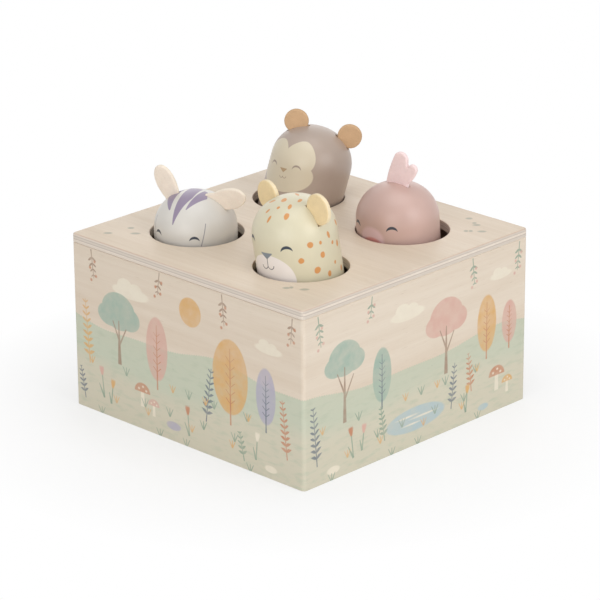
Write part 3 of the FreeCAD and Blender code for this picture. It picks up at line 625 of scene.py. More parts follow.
class Picture:
    """A printed picture on a panel: u runs along the panel and v up from the floor."""

    def __init__(self, paint, u, v):
        self.paint = paint
        self.rough = paint.noise(paint.place, 900.0, detail=1.0) * 0.5 - 0.25
        self.u = u
        self.v = v
        self.layers = []

    def add(self, colour, mask):
        self.layers.append((PRINT[colour], mask))

    def stamp(self, stamp, at, turn, *sizes):
        """A stamp at a point, turned anticlockwise by some degrees."""
        return stamp.on(self.paint.tree, self.u, self.v, *at, *cos_sin(turn), *sizes)

    def blot(self, at, size, turn=0):
        """An ellipse of that half width and half height."""
        return self.stamp(BLOT, at, turn, self.rough, *size)

    def blots(self, at, size, parts):
        """Blots in one, by shares of a size."""
        u, v = at
        return any_of(
            self.blot((u + size * across, v + size * up), (size * wide, size * high))
            for across, up, wide, high in parts
        )

    def line(self, at, length, turn, wide, tip=0.3):
        """A stroke that leaves a point at an angle from upright."""
        return self.stamp(LINE, at, turn, self.rough, length, wide, tip)

    def leaves(self, at, length, turn, leaf, spacing, tilt=38, taper=0.35):
        """Pairs of leaves of that length and half width up a stem."""
        sizes = (length, *leaf, spacing, *cos_sin(tilt), taper)
        return self.stamp(LEAVES, at, turn, *sizes)

    # What the designs are made of.

    def patch(self, colour, at, size):
        self.add(colour, self.blot(at, size))

    def sprig(self, colour, at, length, turn, leaf=(3.2, 1.0), spacing=3.2):
        stem = self.line(at, length, turn, 0.35, 0.2)
        self.add(colour, stem.either(self.leaves(at, length, turn, leaf, spacing)))

    def round_tree(self, colour, at, height, radius):
        """A tree with a round crown on a forked trunk."""
        u, v = at
        trunk = self.line(at, height - radius * 0.4, 0, radius * 0.11, 0.3)
        fork = self.line((u, v + height * 0.45), height * 0.38, 24, 0.6)
        other = self.line((u, v + height * 0.36), height * 0.4, -28, 0.6)
        self.add(colour, self.blots((u, v + height), radius, CROWN))
        self.add("bark", any_of((trunk, fork, other)))

    def leaf_tree(self, colour, vein, at, height, half):
        """A tree like one big upright leaf, with veins."""
        u, v = at
        self.patch(colour, (u, v + height * 0.58), (half, height * 0.45))
        self.add(vein, self.line(at, height * 0.92, 0, 0.5, 0.2))
        foot = (u, v + height * 0.12)
        rib = (half * 0.42, 0.28)
        ribs = self.leaves(foot, height * 0.72, 0, rib, height * 0.1, tilt=42, taper=0.5)
        self.add(vein, ribs)

    def toadstool(self, cap, at, size):
        rim = (at[0], at[1] + size * 0.85)
        self.add("cream", self.line(at, size, 0, size * 0.16, size * 0.12))
        above = (self.v - rim[1]).over(0.0, 0.3)
        self.add(cap, self.blot(rim, (size * 0.62, size * 0.55)).both(above))
        self.add("cream", self.blots(rim, size, DOTS))

    def tulip(self, colour, at, height, lean=0):
        u, v = at
        self.add("leaf", self.line(at, height, lean, 0.4, 0.3))
        self.add("leaf", self.line(at, height * 0.6, lean + 22, 0.7, 0.2))
        cosine, sine = cos_sin(lean)
        for spread in (-20, 0, 20):
            aside = sine * height + cos_sin(lean + spread)[1] * 1.2
            petal = (u - aside, v + cosine * height + 1.2)
            self.add(colour, self.blot(petal, (0.95, 2.3), lean + spread))

    def cloud(self, at, size):
        self.add("cream", self.blots(at, size, CLOUD))

    def hanging(self, colour, berry, at, length, turn):
        """A twig that hangs from the panel's upper edge, with berries on its leaves."""
        self.sprig(colour, at, length, 180 + turn, (2.6, 0.8), 3.0)
        cosine, sine = cos_sin(turn)
        for share, side in ((0.35, 1), (0.6, -1), (0.85, 1), (1.02, -1)):
            down = length * share
            place = (at[0] + sine * down + side * 1.9, at[1] - cosine * down - 0.8)
            self.patch(berry, place, (0.8, 0.8))

    def tufts(self, colour, spacing, size, seed, ceiling):
        """Small grass tufts scattered over the hills, one to a cell."""
        paint = self.paint
        wide = spacing * 1.6
        up = self.v / spacing + seed
        row = up.math("FLOOR")
        across = self.u / wide + row * 0.5 + seed
        cell = paint.joined(row, across.math("FLOOR"))
        white = paint.new("ShaderNodeTexWhiteNoise", cell, noise_dimensions="2D")
        chance = Field(paint.tree, white.outputs["Value"])
        du = (across.math("FRACT") - 0.5) * wide + (chance - 0.5) * (spacing * 0.6)
        dv = (up.math("FRACT") - 0.3) * spacing
        blades = any_of(
            (abs(du - dv * tilt) + dv * (0.22 / size)).under(0.42, 0.3)
            for tilt in (-0.55, 0.0, 0.5)
        )
        tuft = blades.both(dv.over(0.0, 0.3)).both(dv.under(size, 0.5))
        chosen = chance.over(0.52, 0.02).both(self.v.under(ceiling, 1.0))
        self.add(colour, tuft.both(chosen))


# The designs, piece by piece: what it is, and what its method of Picture takes.
MEADOW = (
    ("cloud", (-38, 70), 13),
    ("cloud", (57, 66), 9),
    ("hanging", "bark", "rust", (-66, 86), 15, 6),
    ("hanging", "bark", "rust", (-17, 86), 12, -8),
    ("hanging", "bark", "rust", (26, 86), 16, 5),
    ("hanging", "bark", "rust", (73, 86), 13, -5),
    ("patch", "ochre", (4, 71), (7.5, 7.5)),
    ("sprig", "ochre", (-69, 25), 34, 4, (3.6, 1.1), 3.4),
    ("round_tree", "sage", (-47, 30), 28, 12),
    ("leaf_tree", "pink", "rust", (-20, 24), 37, 7.5),
    ("leaf_tree", "ochre", "rust", (31, 20), 43, 12),
    ("leaf_tree", "lilac", "slate", (55, 23), 32, 6.5),
    ("sprig", "slate", (14, 17), 29, -8, (3.4, 1.0), 3.2),
    ("sprig", "rust", (69, 13), 30, 6, (3.0, 1.0), 3.0),
    ("toadstool", "rust", (-31, 12), 9),
    ("toadstool", "pink", (-23, 9), 6.5),
    ("tulip", "pink", (-59, 9), 13, 6),
    ("tulip", "ochre", (-54, 7), 10, -8),
    ("tulip", "rust", (2, 6), 12, 4),
    ("tulip", "cream", (48, 7), 11, -5),
    ("sprig", "slate", (-73, 5), 17, 10, (2.6, 0.8), 2.6),
    ("sprig", "leaf", (40, 4), 15, 12, (2.6, 0.9), 2.6),
    ("patch", "lilac", (-9, 8), (5.0, 2.2)),
    ("patch", "cream", (58, 5), (4.0, 1.8)),
)
POND = (
    ("cloud", (-8, 70), 12),
    ("cloud", (60, 72), 8),
    ("hanging", "leaf", "pink", (-70, 86), 16, 7),
    ("hanging", "leaf", "pink", (-33, 86), 11, -6),
    ("hanging", "leaf", "pink", (39, 86), 14, 6),
    ("hanging", "leaf", "pink", (74, 86), 15, -6),
    ("round_tree", "sage", (-52, 27), 33, 11),
    ("round_tree", "pink", (20, 31), 30, 12),
    ("leaf_tree", "sage", "slate", (-26, 26), 31, 6.5),
    ("leaf_tree", "ochre", "rust", (50, 30), 33, 7),
    ("leaf_tree", "pink", "rust", (67, 31), 25, 5.5),
    ("patch", "water", (-2, 14), (21, 6.2)),
    ("patch", "cream", (-8, 16.2), (6.5, 0.5)),
    ("patch", "cream", (4, 14.4), (8.5, 0.5)),
    ("patch", "cream", (-5, 11.8), (5.5, 0.45)),
    ("sprig", "slate", (-71, 10), 31, 5, (3.4, 1.0), 3.2),
    ("sprig", "leaf", (-24, 9), 19, 9, (2.6, 0.9), 2.7),
    ("sprig", "slate", (24, 11), 24, -6, (2.8, 0.9), 2.9),
    ("sprig", "rust", (39, 16), 21, 7, (2.7, 0.9), 2.8),
    ("toadstool", "rust", (58, 11), 9.5),
    ("toadstool", "ochre", (66, 8), 6.5),
    ("tulip", "rust", (-46, 7), 13, 7),
    ("tulip", "pink", (-40, 9), 10, -7),
    ("tulip", "ochre", (35, 6), 11, -5),
    ("patch", "cream", (-60, 5), (4.4, 2.0)),
    ("patch", "water", (48, 5), (3.8, 1.7)),
)
GRASS = (
    ("tufts", "leaf", 13.0, 4.6, 0.37, 38.0),
    ("tufts", "ochre", 17.0, 4.0, 0.81, 30.0),
)


# The axis and the direction of u along each panel, and the design on it.
PANELS = {
    "front_panel": ("X", 1, MEADOW),
    "right_panel": ("Y", 1, POND),
    "back_panel": ("X", -1, MEADOW),
    "left_panel": ("Y", -1, POND),
}
# How far in from the outside the print ends: the panels are bare inside.
PRINT_DEPTH = 1.5


def hill_share(x, y, z):
    """Where the hills are, and how far down them: one outline for all four sides, so
    that it meets at the corners."""
    outline = (x * 0.052 + 0.4).sine() * 2.6 + (y * 0.047 - 0.9).sine() * 2.2
    outline = outline + (x * 0.11 + y * 0.09).sine() * 1.0 + 45.5
    outline = outline + abs((x * 1.9 + y * 1.9).sine()) * 0.5
    lower = (x * 0.04 - 1.1).sine() * 4.0 + (y * 0.05 + 0.6).sine() * 3.4 + 25.0
    return (z - outline).under(0.0, 0.5), (z - lower).under(0.0, 9.0)


def make_panels():
    for name, (along, forwards, design) in PANELS.items():
        paint = Paint(f"{name}_print", 0.55, Specular_IOR_Level=0.3)
        bare, share = wood_colour(
            paint, (232, 219, 202), (220, 203, 183), (190, 166, 142), along
        )
        x, y, z = paint.parts(paint.inside())
        u, depth = (x, y) if along == "X" else (y, x)
        picture = Picture(paint, u * forwards, z)
        for kind, *facts in design + GRASS:
            getattr(picture, kind)(*facts)
        hills, low = hill_share(x, y, z)
        blades = paint.noise(paint.inside(stretch=(9.0, 9.0, 2.6)), 1.0, detail=4.0)
        meadow = paint.coats(
            (195, 203, 182),
            ((209, 205, 184), low),
            ((176, 190, 166), blades.remap(0.5, 0.72) * 0.55),
        )
        wash = paint.noise(paint.place, 170.0, detail=4.0).remap(0.32, 0.68, 0.98, 0.66)
        layers = [(colour, mask * wash) for colour, mask in picture.layers]
        printed = paint.coats(bare, (meadow, hills * 0.88), *layers, (bare, share * 0.16))
        outside = abs(depth).over(BOX_WIDTH / 2 - PRINT_DEPTH, 0.3)
        colour = paint.mix(bare, printed, outside)
        dress(name, paint.finish(colour, share.remap(0, 1, 0.46, 0.6)))


# ------------------------------------------------------------------ painted animals

# How far under the crown a face's roll has its middle.
FACE_PIVOT = 20.0


class Face:
    """Paint on a head, drawn flat: s runs round the head from the middle of the face
    and d down from the crown, both in millimetres. The place on the head itself is x,
    y, the distance off its axis, and the depth under its crown."""

    def __init__(self, paint, animal, middle, roll):
        self.paint = paint
        self.animal = animal
        self.x, self.y, z = paint.parts(paint.inside(head_frame(animal)))
        self.under = -z + ANIMALS[animal]["crown"]
        front, side = turned(self.x, self.y, *cos_sin(middle))
        s = side.math("ARCTAN2", front) * HEAD_RADIUS
        self.s, down = turned(s, self.under - FACE_PIVOT, *cos_sin(roll))
        self.d = down + FACE_PIVOT
        self.off_axis = paint.length(paint.joined(self.x, self.y))

    def away(self, at, size):
        """Distance from a point, as a share of an ellipse's half axes."""
        ds = (self.s - at[0]) / size[0]
        dd = (self.d - at[1]) / size[1]
        return self.paint.length(self.paint.joined(ds, dd))

    def patch(self, at, size, soft=0.3):
        return self.away(at, size).under(1.0, soft / min(size))

    def eyes(self, apart, drop, shape, slant=0.0):
        """Closed, smiling eyes; a slant sets the one at +s lower."""
        return any_of(
            self.closed_eye((side * apart, drop + side * slant), *shape)
            for side in SIDES.values()
        )

    def closed_eye(self, at, half, rise, thick):
        """A crescent that bulges upwards."""
        radius = (half**2 + rise**2) / (2 * rise)
        upper = self.patch((at[0], at[1] + radius), (radius, radius), 0.18)
        fall = rise - thick
        inner = (half**2 + fall**2) / (2 * fall)
        lower = self.patch((at[0], at[1] + thick + inner), (inner, inner), 0.18)
        return upper.without(lower)

    def stroke(self, start, end, thick):
        """A short straight line with round ends."""
        length = math.dist(start, end)
        step_s = (end[0] - start[0]) / length
        step_d = (end[1] - start[1]) / length
        s = self.s - start[0]
        d = self.d - start[1]
        along = (s * step_s + d * step_d).remap(0, length, 0, length)
        off = self.paint.joined(s - along * step_s, d - along * step_d)
        return self.paint.length(off).under(thick / 2, 0.15)

    def hooks(self, apart, drop, thick):
        """The lower halves of two rings that touch."""
        rings = (
            abs(self.away((side * apart, drop), (apart, apart)) * apart - apart)
            for side in SIDES.values()
        )
        below = self.d.over(drop, 0.1)
        return any_of(ring.under(thick / 2, 0.15) for ring in rings).both(below)

    def nose(self, top, half, deep):
        """A triangle that points down, with its upper corners cut off."""
        across = abs(self.s) / half
        down = (self.d - top) / deep
        sides = (across + down).under(1.0, 0.12)
        return sides.both((-down).under(0.02, 0.1)).both(across.under(0.88, 0.08))

    def oval(self, drop, azimuth, wide, high, roll):
        """Distance from a point on the skin, as a share of an oval's half axes."""
        frame_mm = skin_frame(self.animal, drop, azimuth, roll)
        return self.paint.length(self.paint.inside(frame_mm, (wide, high, 5.0)))


def lacquer(animal, colour, middle, roll=0.0):
    """Satin lacquer on turned wood, with faint clouds and the grain just felt under it:
    the face on it and its colour."""
    paint = Paint(
        f"{animal}_lacquer", 0.42,
        Specular_IOR_Level=0.4, Coat_Weight=0.3, Coat_Roughness=0.3,
    )
    broad = paint.noise(paint.place, 60.0, detail=2.0)
    fine = paint.noise(paint.place, 700.0, detail=4.0)
    grain = paint.noise(paint.inside(stretch=(1.2, 1.2, 18.0)), 1.0, detail=3.0)
    paint.bump(grain, 0.03)
    paint.bump(fine, 0.012)
    darker = tuple(channel * 0.9 for channel in colour)
    shade = broad.remap(0.35, 0.7) * 0.3 + grain * 0.06
    return Face(paint, animal, middle, roll), paint.mix(colour, darker, shade)


def dress_head(face, colour, *coats):
    """Gives a head its coats, and bare wood in the slots of the felt pieces, where no
    lacquer reached."""
    paint = face.paint
    out = face.off_axis
    low = face.under - CROWN_RADIUS
    crown = paint.length(paint.joined(out, low)) - CROWN_RADIUS
    from_centre = paint.joined(out - SHOULDER_OUT, face.under - SHOULDER_DEPTH)
    shoulder = paint.length(from_centre) - SHOULDER_RADIUS
    on_crown = (out + low * (SHOULDER_OUT / CENTRE_RISE)).under(0.0, 0.2)
    deep = crown.under(-LACQUER_DEPTH, 0.1).both(on_crown)
    deep = deep.either(shoulder.under(-LACQUER_DEPTH, 0.1).without(on_crown))
    slots = deep.both(face.under.under(SHOULDER_DEPTH, 0.5))
    colour = paint.coats(colour, *coats, (BARE_WOOD, slots))
    dress(f"{face.animal}_body", paint.finish(colour))


# How deep the lacquer goes into the wood.
LACQUER_DEPTH = 0.25
BARE_WOOD = (226, 206, 180)
EYE = (46, 56, 70)
# Each with its drop, azimuth, half width, half height and roll.
LEOPARD_SPOTS = [
    (5.2, -52, 1.3, 1.8, -22), (6.5, -86, 0.72, 1.9, -12),
    (3.9, -101, 0.7, 1.35, -15), (2.4, -77, 0.75, 0.95, -30),
    (2.2, -45, 0.85, 1.75, -20), (0.5, -78, 1.45, 1.7, 10),
    (1.6, -130, 0.9, 1.9, -20), (0.3, 65, 2.2, 0.8, 0),
    (1.2, -4, 1.6, 0.85, 20), (17.6, 8, 0.9, 1.85, 15),
    (19.6, -8, 0.75, 0.95, 10), (19.2, -23, 1.5, 1.6, 5),
    (22.3, 14, 0.9, 0.95, 0), (24.4, 27, 1.2, 1.65, 5),
    (26.0, -7, 1.3, 1.6, 0), (26.2, -38, 1.4, 1.35, -20),
    (32.3, 14, 0.7, 0.9, 0), (32.5, -18, 1.65, 1.75, 10),
    (36.3, 0, 1.1, 1.6, 0), (37.4, 30, 1.1, 1.5, 0),
    (15.1, 37, 1.2, 1.6, 15), (10.5, -144, 1.1, 1.9, -15),
    (26.0, -150, 1.5, 1.8, 10), (33.0, -160, 1.7, 2.0, 0),
]


def paint_leopard():
    face, colour = lacquer("leopard", (222, 214, 186), -87)
    ovals = [face.oval(*spot) for spot in LEOPARD_SPOTS + back_spots()]
    near = functools.reduce(lambda one, other: one.math("MINIMUM", other), ovals)
    wobble = face.paint.noise(face.paint.place, 420.0, detail=1.0) * 0.5 - 0.25
    lip = face.stroke((0.1, 24.6), (0.0, 28.2), 0.42)
    dress_head(
        face,
        colour,
        ((214, 150, 88), (near + wobble).under(1.0, 0.22)),
        ((240, 232, 226), face.patch((0, 36.0), (14.3, 13.0))),
        ((128, 136, 144), face.nose(22.0, 3.9, 3.2)),
        ((120, 116, 116), lip.either(face.hooks(1.8, 28.3, 0.42))),
        (EYE, face.eyes(11.4, 16.6, (3.0, 2.9, 1.5), slant=1.4)),
    )


def back_spots():
    """Spots round the back of the leopard's head, in staggered rows."""
    spots = []
    for row, drop in enumerate((4.5, 9.5, 15.5, 21.5, 27.5, 33.5, 40.0)):
        for step in range(4):
            azimuth = 62 + step * 36 + (row % 2) * 17
            size = 1.0 + 0.35 * ((row * 3 + step * 2) % 3)
            roll = 20 * (step % 3)
            spots.append((drop + (step % 2) * 1.4, azimuth, size, size * 1.15, roll))
    return spots


def paint_zebra():
    face, colour = lacquer("zebra", (220, 216, 209), -88.7)
    cheeks = any_of(
        face.stroke((side * 16.9, 11.0), (side * 14.2, 21.6), 0.42)
        for side in SIDES.values()
    )
    nostrils = any_of(
        face.patch((side * 4.5, 33.0), (0.9, 1.4)) for side in SIDES.values()
    )
    dress_head(
        face,
        colour,
        ((148, 134, 157), zebra_stripes(face)),
        (EYE, face.eyes(10.8, 16.55, (2.6, 2.4, 1.3), slant=0.15)),
        ((150, 146, 152), cheeks),
        ((190, 182, 190), face.patch((0, 38.0), (15.0, 10.5))),
        ((120, 112, 126), nostrils),
    )


# The ball that stands in for a crown, and the chart's millimetres to a radian on it.
CHART_BALL = 21.0
CHART_SCALE = 22.0


def crown_chart(face, middle):
    """Flat map of the crown: x across it, and f from the crown towards the face."""
    turn = face.off_axis.math("ARCTAN2", -face.under + CHART_BALL)
    share = turn * CHART_SCALE / face.off_axis
    front, side = turned(face.x, face.y, *cos_sin(middle))
    return side * share, front * share


# Tip across and forward, drift per millimetre, length, half width, bend, taper, and how
# far across a stripe reaches at most.
ZEBRA_STRIPES = (
    (0.3, 25.1, -0.02, 30.0, 5.4, 0.0, 0.8, 2.5),
    (4.9, 15.6, 0.15, 19.0, 4.0, 0.0, 0.8, 40.0),
    (-5.2, 17.6, -0.34, 19.0, 4.4, -4.5, 0.62, 40.0),
)


def zebra_stripes(face):
    """Three pointed stripes that run from the crown down the forehead."""
    x, f = crown_chart(face, -93)
    masks = []
    for tip_x, tip_f, drift, length, half, bend, taper, reach in ZEBRA_STRIPES:
        back = -f + tip_f
        along = back / length
        centre = back * drift + along * (-along + 1.0) * bend + tip_x
        width = along.remap(0, 1, 0.02, 1).math("POWER", taper) * half
        stripe = (abs(x - centre) - width).under(0.0, 0.3)
        stripe = stripe.both((x - f * 0.14).under(reach, 0.3))
        masks.append(stripe.both(back.over(0.0, 0.2)).both(back.under(length, 0.3)))
    return any_of(masks).both((x * 12.2 - f * 8.2).under(97.0, 4.0))


def paint_bird():
    face, colour = lacquer("bird", (206, 174, 164), -93)
    dress_head(
        face,
        colour,
        ((222, 190, 192), face.patch((-0.3, 24.0), (7.1, 6.6), 1.6) * 0.9),
        ((212, 138, 130), face.patch((0, 27.0), (6.0, 4.4), 1.0) * 0.85),
        ((46, 52, 64), face.eyes(11.2, 16.2, (2.9, 2.7, 1.45))),
    )


def paint_monkey():
    face, colour = lacquer("monkey", (180, 162, 149), -96.5, roll=-11.0)
    brows = any_of(
        face.patch((side * 8.0, 14.6), (9.2, 8.2)) for side in SIDES.values()
    )
    dress_head(
        face,
        colour,
        ((217, 205, 181), brows.either(face.patch((-0.4, 23.4), (16.8, 9.4)))),
        ((182, 154, 118), face.nose(20.6, 2.5, 2.2)),
        ((176, 156, 134), face.hooks(1.0, 24.6, 0.35)),
        ((162, 144, 130), face.eyes(7.6, 17.9, (2.5, 2.5, 0.95))),
    )


# ------------------------------------------------------------------------------ felt


def felt(name, face_colour, edge_colour, rim):
    """Pressed wool felt: matted fibres, sheen, and paler cut edges."""
    paint = Paint(
        name, 0.95, Sheen_Weight=0.12, Sheen_Roughness=0.5, Specular_IOR_Level=0.15
    )
    fibres = paint.noise(paint.place, 1500.0, detail=5.0, roughness=0.75)
    mats = paint.noise(paint.place, 260.0, detail=3.0)
    edge = abs(paint.parts(paint.inside())[1]).under(rim, 0.25)
    darker = tuple(channel * 0.95 for channel in face_colour)
    lighter = tuple(min(channel * 1.06, 252) for channel in face_colour)
    paint.bump(mats, 0.22)
    paint.bump(fibres, 0.12)
    return paint.finish(paint.coats(
        face_colour,
        (darker, mats.remap(0.35, 0.7) * 0.6),
        (lighter, fibres.remap(0.5, 0.75) * 0.6),
        (edge_colour, edge * 0.85),
    ))


def smooth_piece(work, name, material):
    """An object of one material from the faces that were made for it."""
    mesh = bpy.data.meshes.new(name)
    work.to_mesh(mesh)
    work.free()
    mesh.shade_smooth()
    mesh.materials.append(material)
    return new_object(name, mesh)


def felt_piece(node, animal, frame_mm, outline, thick, material):
    """A felt piece from a closed outline in its frame's XZ plane, a list of points.

    Its two faces are domed a little, its edge is rounded, and its surface is uneven.
    """
    work = bmesh.new()
    centre = sum((Vector((x, 0, z)) for x, z in outline), Vector()) / len(outline)
    half = thick / 2
    profile = [
        (FELT_EDGE, half),
        (FELT_EDGE * 0.45, half - FELT_EDGE * 0.14),
        (0.0, half - FELT_EDGE * 0.62),
        (0.0, 0.0),
    ]
    profile += [(inset, -level) for inset, level in reversed(profile[:-1])]
    inward = outline_normals(outline)
    rings = []
    for inset, level in profile:
        ring = []
        for (x, z), (nx, nz) in zip(outline, inward):
            ring.append(work.verts.new((x + nx * inset, level, z + nz * inset)))
        rings.append(ring)
    for upper, lower in zip(rings, rings[1:]):
        bridge(work, upper, lower)
    for ring, side in ((rings[0], 1), (rings[-1], -1)):
        close_face(work, ring, centre, side)
    bmesh.ops.recalc_face_normals(work, faces=work.faces)
    bmesh.ops.subdivide_edges(work, edges=work.edges, cuts=1, use_grid_fill=True)
    for vertex in work.verts:
        spread = noise.noise(vertex.co * 0.9) * 0.07 + noise.noise(vertex.co * 3.1) * 0.04
        vertex.co += vertex.normal * spread
        vertex.co *= MM
    piece = smooth_piece(work, f"{node}_felt", material)
    place = frame_mm.copy()
    place.translation = frame_mm.translation * MM
    piece.matrix_world = place
    smooth = piece.modifiers.new("smooth", "SUBSURF")
    smooth.levels = 1
    smooth.render_levels = 1
    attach(piece, animal)
    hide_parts(node)


def outline_normals(outline):
    """Unit normals that point into a closed anticlockwise outline."""
    normals = []
    for before, after in zip(outline[-1:] + outline[:-1], outline[1:] + outline[:1]):
        length = math.dist(before, after)
        normals.append(((before[1] - after[1]) / length, (after[0] - before[0]) / length))
    return normals


def bridge(work, upper, lower):
    """Faces from one ring to another."""
    for corners in zip(upper, upper[1:] + upper[:1], lower[1:] + lower[:1], lower):
        work.faces.new(corners)


def close_face(work, ring, centre, side):
    """Closes a ring with rings that shrink to a middle, so that the face can swell."""
    last = ring
    for share in (0.75, 0.5, 0.25):
        inner = []
        for vertex in ring:
            spot = Vector((centre.x, vertex.co.y, centre.z)).lerp(vertex.co, share)
            spot.y += (1 - share) * FELT_DOME * side
            inner.append(work.verts.new(spot))
        bridge(work, last, inner)
        last = inner
    middle = work.verts.new((centre.x, ring[0].co.y + FELT_DOME * side, centre.z))
    for one, other in zip(last, last[1:] + last[:1]):
        work.faces.new((one, other, middle))


def evenly(outline, count):
    """The same closed outline with that many points, evenly spaced."""
    closed = outline + outline[:1]
    lengths = [0.0]
    for start, end in zip(closed, closed[1:]):
        lengths.append(lengths[-1] + math.dist(start, end))
    spaced = []
    stretch = 0
    for number in range(count):
        target = lengths[-1] * number / count
        while lengths[stretch + 1] < target:
            stretch += 1
        before, after = lengths[stretch : stretch + 2]
        share = (target - before) / (after - before)
        start, end = closed[stretch : stretch + 2]
        spaced.append([one + (other - one) * share for one, other in zip(start, end)])
    return spaced


def arc_points(centre, radius, start, end, steps):
    points = []
    for step in range(steps + 1):
        cosine, sine = cos_sin(start + (end - start) * step / steps)
        points.append((centre[0] + radius * cosine, centre[1] + radius * sine))
    return points


def round_outline(animal):
    facts = EARS[animal]
    radius = facts["width"] / 2 + facts["fuller"]
    return arc_points((0, facts["length"] - radius), radius, 0, 360, 96)[:-1]


def leaf_outline(animal):
    """A leaf with a straight root, anticlockwise from the root's right corner: two
    halves of ellipses that meet where it is widest."""
    facts = EARS[animal]
    half = facts["width"] / 2 + facts["fuller"]
    half_root = LEAF_ROOT / 2 + facts["fuller"]
    tip = facts["length"] - LEAF_BLUNTER
    widest = tip * LEAF_WIDEST_AT
    first = -math.acos(half_root / half)
    below = widest / math.sin(-first)
    right = [(half_root, -FELT_SEAT)]
    steps = 36
    for step in range(steps + 1):
        angle = first + (math.pi / 2 - first) * step / steps
        high = tip - widest if angle > 0 else below
        right.append((half * math.cos(angle), widest + high * math.sin(angle)))
    return right + [(-x, z) for x, z in reversed(right[:-1])]


def comb_outline():
    """Two lobes on one root, anticlockwise from the root's left corner. The sides
    swell outwards between the root and the lobes."""
    left = (COMB_ROOT[0] - COMB_FULLER, 0.0)
    right = (COMB_ROOT[1] + COMB_FULLER, 0.0)
    (big, big_radius), (small, small_radius) = COMB_LOBES
    lower = tangent_angle(right, small, small_radius, 1)
    inner = math.degrees(math.atan2(COMB_NOTCH[1] - small[1], COMB_NOTCH[0] - small[0]))
    lobe = arc_points(small, small_radius, lower, inner % 360, 20)
    outer = tangent_angle(COMB_NOTCH, big, big_radius, 1)
    upper = tangent_angle(left, big, big_radius, -1)
    crest = arc_points(big, big_radius, outer, upper % 360, 20)
    root = [(left[0], -FELT_SEAT), (right[0], -FELT_SEAT), right]
    return root + swollen(right, lobe[0]) + lobe + crest + swollen(crest[-1], left) + [left]


def swollen(start, end):
    """Points between two points of an anticlockwise outline, on an arc that swells
    outwards over the straight line."""
    half = math.dist(start, end) / 2
    radius = (half**2 + COMB_SWELL**2) / (2 * COMB_SWELL)
    outward = math.atan2(start[0] - end[0], end[1] - start[1])
    back = radius - COMB_SWELL
    centre = (
        (start[0] + end[0]) / 2 - back * math.cos(outward),
        (start[1] + end[1]) / 2 - back * math.sin(outward),
    )
    middle = math.degrees(outward)
    spread = math.degrees(math.asin(half / radius))
    return arc_points(centre, radius, middle - spread, middle + spread, 10)[1:-1]


def tangent_angle(point, centre, radius, side):
    """Angle on a circle where the line from a point touches it."""
    toward = math.atan2(point[1] - centre[1], point[0] - centre[0])
    opening = math.acos(min(radius / math.dist(point, centre), 1.0))
    return math.degrees(toward + side * opening)


def make_felt():
    skins = {
        "leopard": felt("leopard_felt_ears", (246, 221, 174), (246, 230, 196), 0.85),
        "zebra": felt("zebra_felt_ears", (250, 235, 219), (250, 238, 219), 0.7),
        "monkey": felt("monkey_felt_ears", (214, 178, 140), (204, 166, 126), 0.85),
        "bird": felt("bird_felt_comb", (255, 228, 227), (252, 230, 228), 0.8),
    }
    outlines = {
        "leopard": evenly(round_outline("leopard"), 72),
        "monkey": evenly(round_outline("monkey"), 72),
        "zebra": evenly(leaf_outline("zebra"), 90),
    }
    for animal, outline in outlines.items():
        thick = EARS[animal]["thick"]
        for name, side in SIDES.items():
            place = ear_frame(animal, side)
            felt_piece(f"{animal}_ear_{name}", animal, place, outline, thick, skins[animal])
    crown = head_frame("bird") @ Matrix.Translation((0, 0, ANIMALS["bird"]["crown"]))
    outline = evenly(comb_outline(), 110)
    felt_piece("bird_comb", "bird", crown, outline, COMB_THICK, skins["bird"])


# --------------------------------------------------------------------------- springs


def steel(name, light, dark, clouds, scratches, depth, rough):
    """Steel with clouds and drawn scratches, each so many waves to a metre."""
    paint = Paint(name, rough[0], Metallic=1.0)
    cloud = paint.noise(paint.place, clouds, detail=3.0)
    paint.bump(paint.noise(paint.place, scratches, detail=2.0), depth)
    colour = paint.mix(light, dark, cloud.remap(0.35, 0.7))
    return paint.finish(colour, cloud.remap(0.3, 0.7, *rough))


def make_steels():
    spring = steel(
        "spring_steel_wire", (190, 190, 192), (150, 148, 146),
        120.0, 2500.0, 0.01, (0.25, 0.42),
    )
    zinc = steel(
        "screw_steel_zinc", (198, 198, 200), (170, 168, 160),
        300.0, 1800.0, 0.015, (0.28, 0.5),
    )
    for name in ("base_screws", "post_screws"):
        dress(name, zinc)
    return spring


class Spine:
    """Centre line of a spring: straight at both seats and a cubic curve between."""

    def __init__(self, animal):
        facts = ANIMALS[animal]
        half = HOLE_PITCH / 2
        place = head_frame(animal)
        self.seat = Vector((facts["column"] * half, facts["row"] * half, SPRING_SEAT))
        self.end = place @ Vector((0, 0, -BODY_DROP))
        self.tangent = (place.to_3x3() @ UP).normalized()
        self.margin = SPRING_WIRE / 2 + COIL_GAP
        self.closed = SPRING_WIRE + COIL_GAP
        self.grip = self.margin + self.closed
        self.lower = self.seat + UP * self.grip
        self.upper = self.end - self.tangent * self.grip
        self.bend = (self.upper - self.lower).length
        self.length = self.bend + 2 * self.grip

    def level(self, turn):
        if turn <= 1:
            return self.margin + turn * self.closed
        if turn >= SPRING_TURNS - 1:
            return self.length - self.margin - (SPRING_TURNS - turn) * self.closed
        return self.grip + (turn - 1) * self.bend / (SPRING_TURNS - 2)

    def place(self, distance):
        if distance <= self.grip:
            return self.seat + UP * distance, UP
        if distance >= self.length - self.grip:
            return self.end - self.tangent * (self.length - distance), self.tangent
        t = (distance - self.grip) / self.bend
        leaving = UP * self.bend
        arriving = self.tangent * self.bend
        point = self.lower * (2 * t**3 - 3 * t**2 + 1) + self.upper * (3 * t**2 - 2 * t**3)
        point += leaving * (t**3 - 2 * t**2 + t) + arriving * (t**3 - t**2)
        direction = (self.upper - self.lower) * (6 * t - 6 * t**2)
        direction += leaving * (3 * t**2 - 4 * t + 1) + arriving * (3 * t**2 - 2 * t)
        return point, direction.normalized()


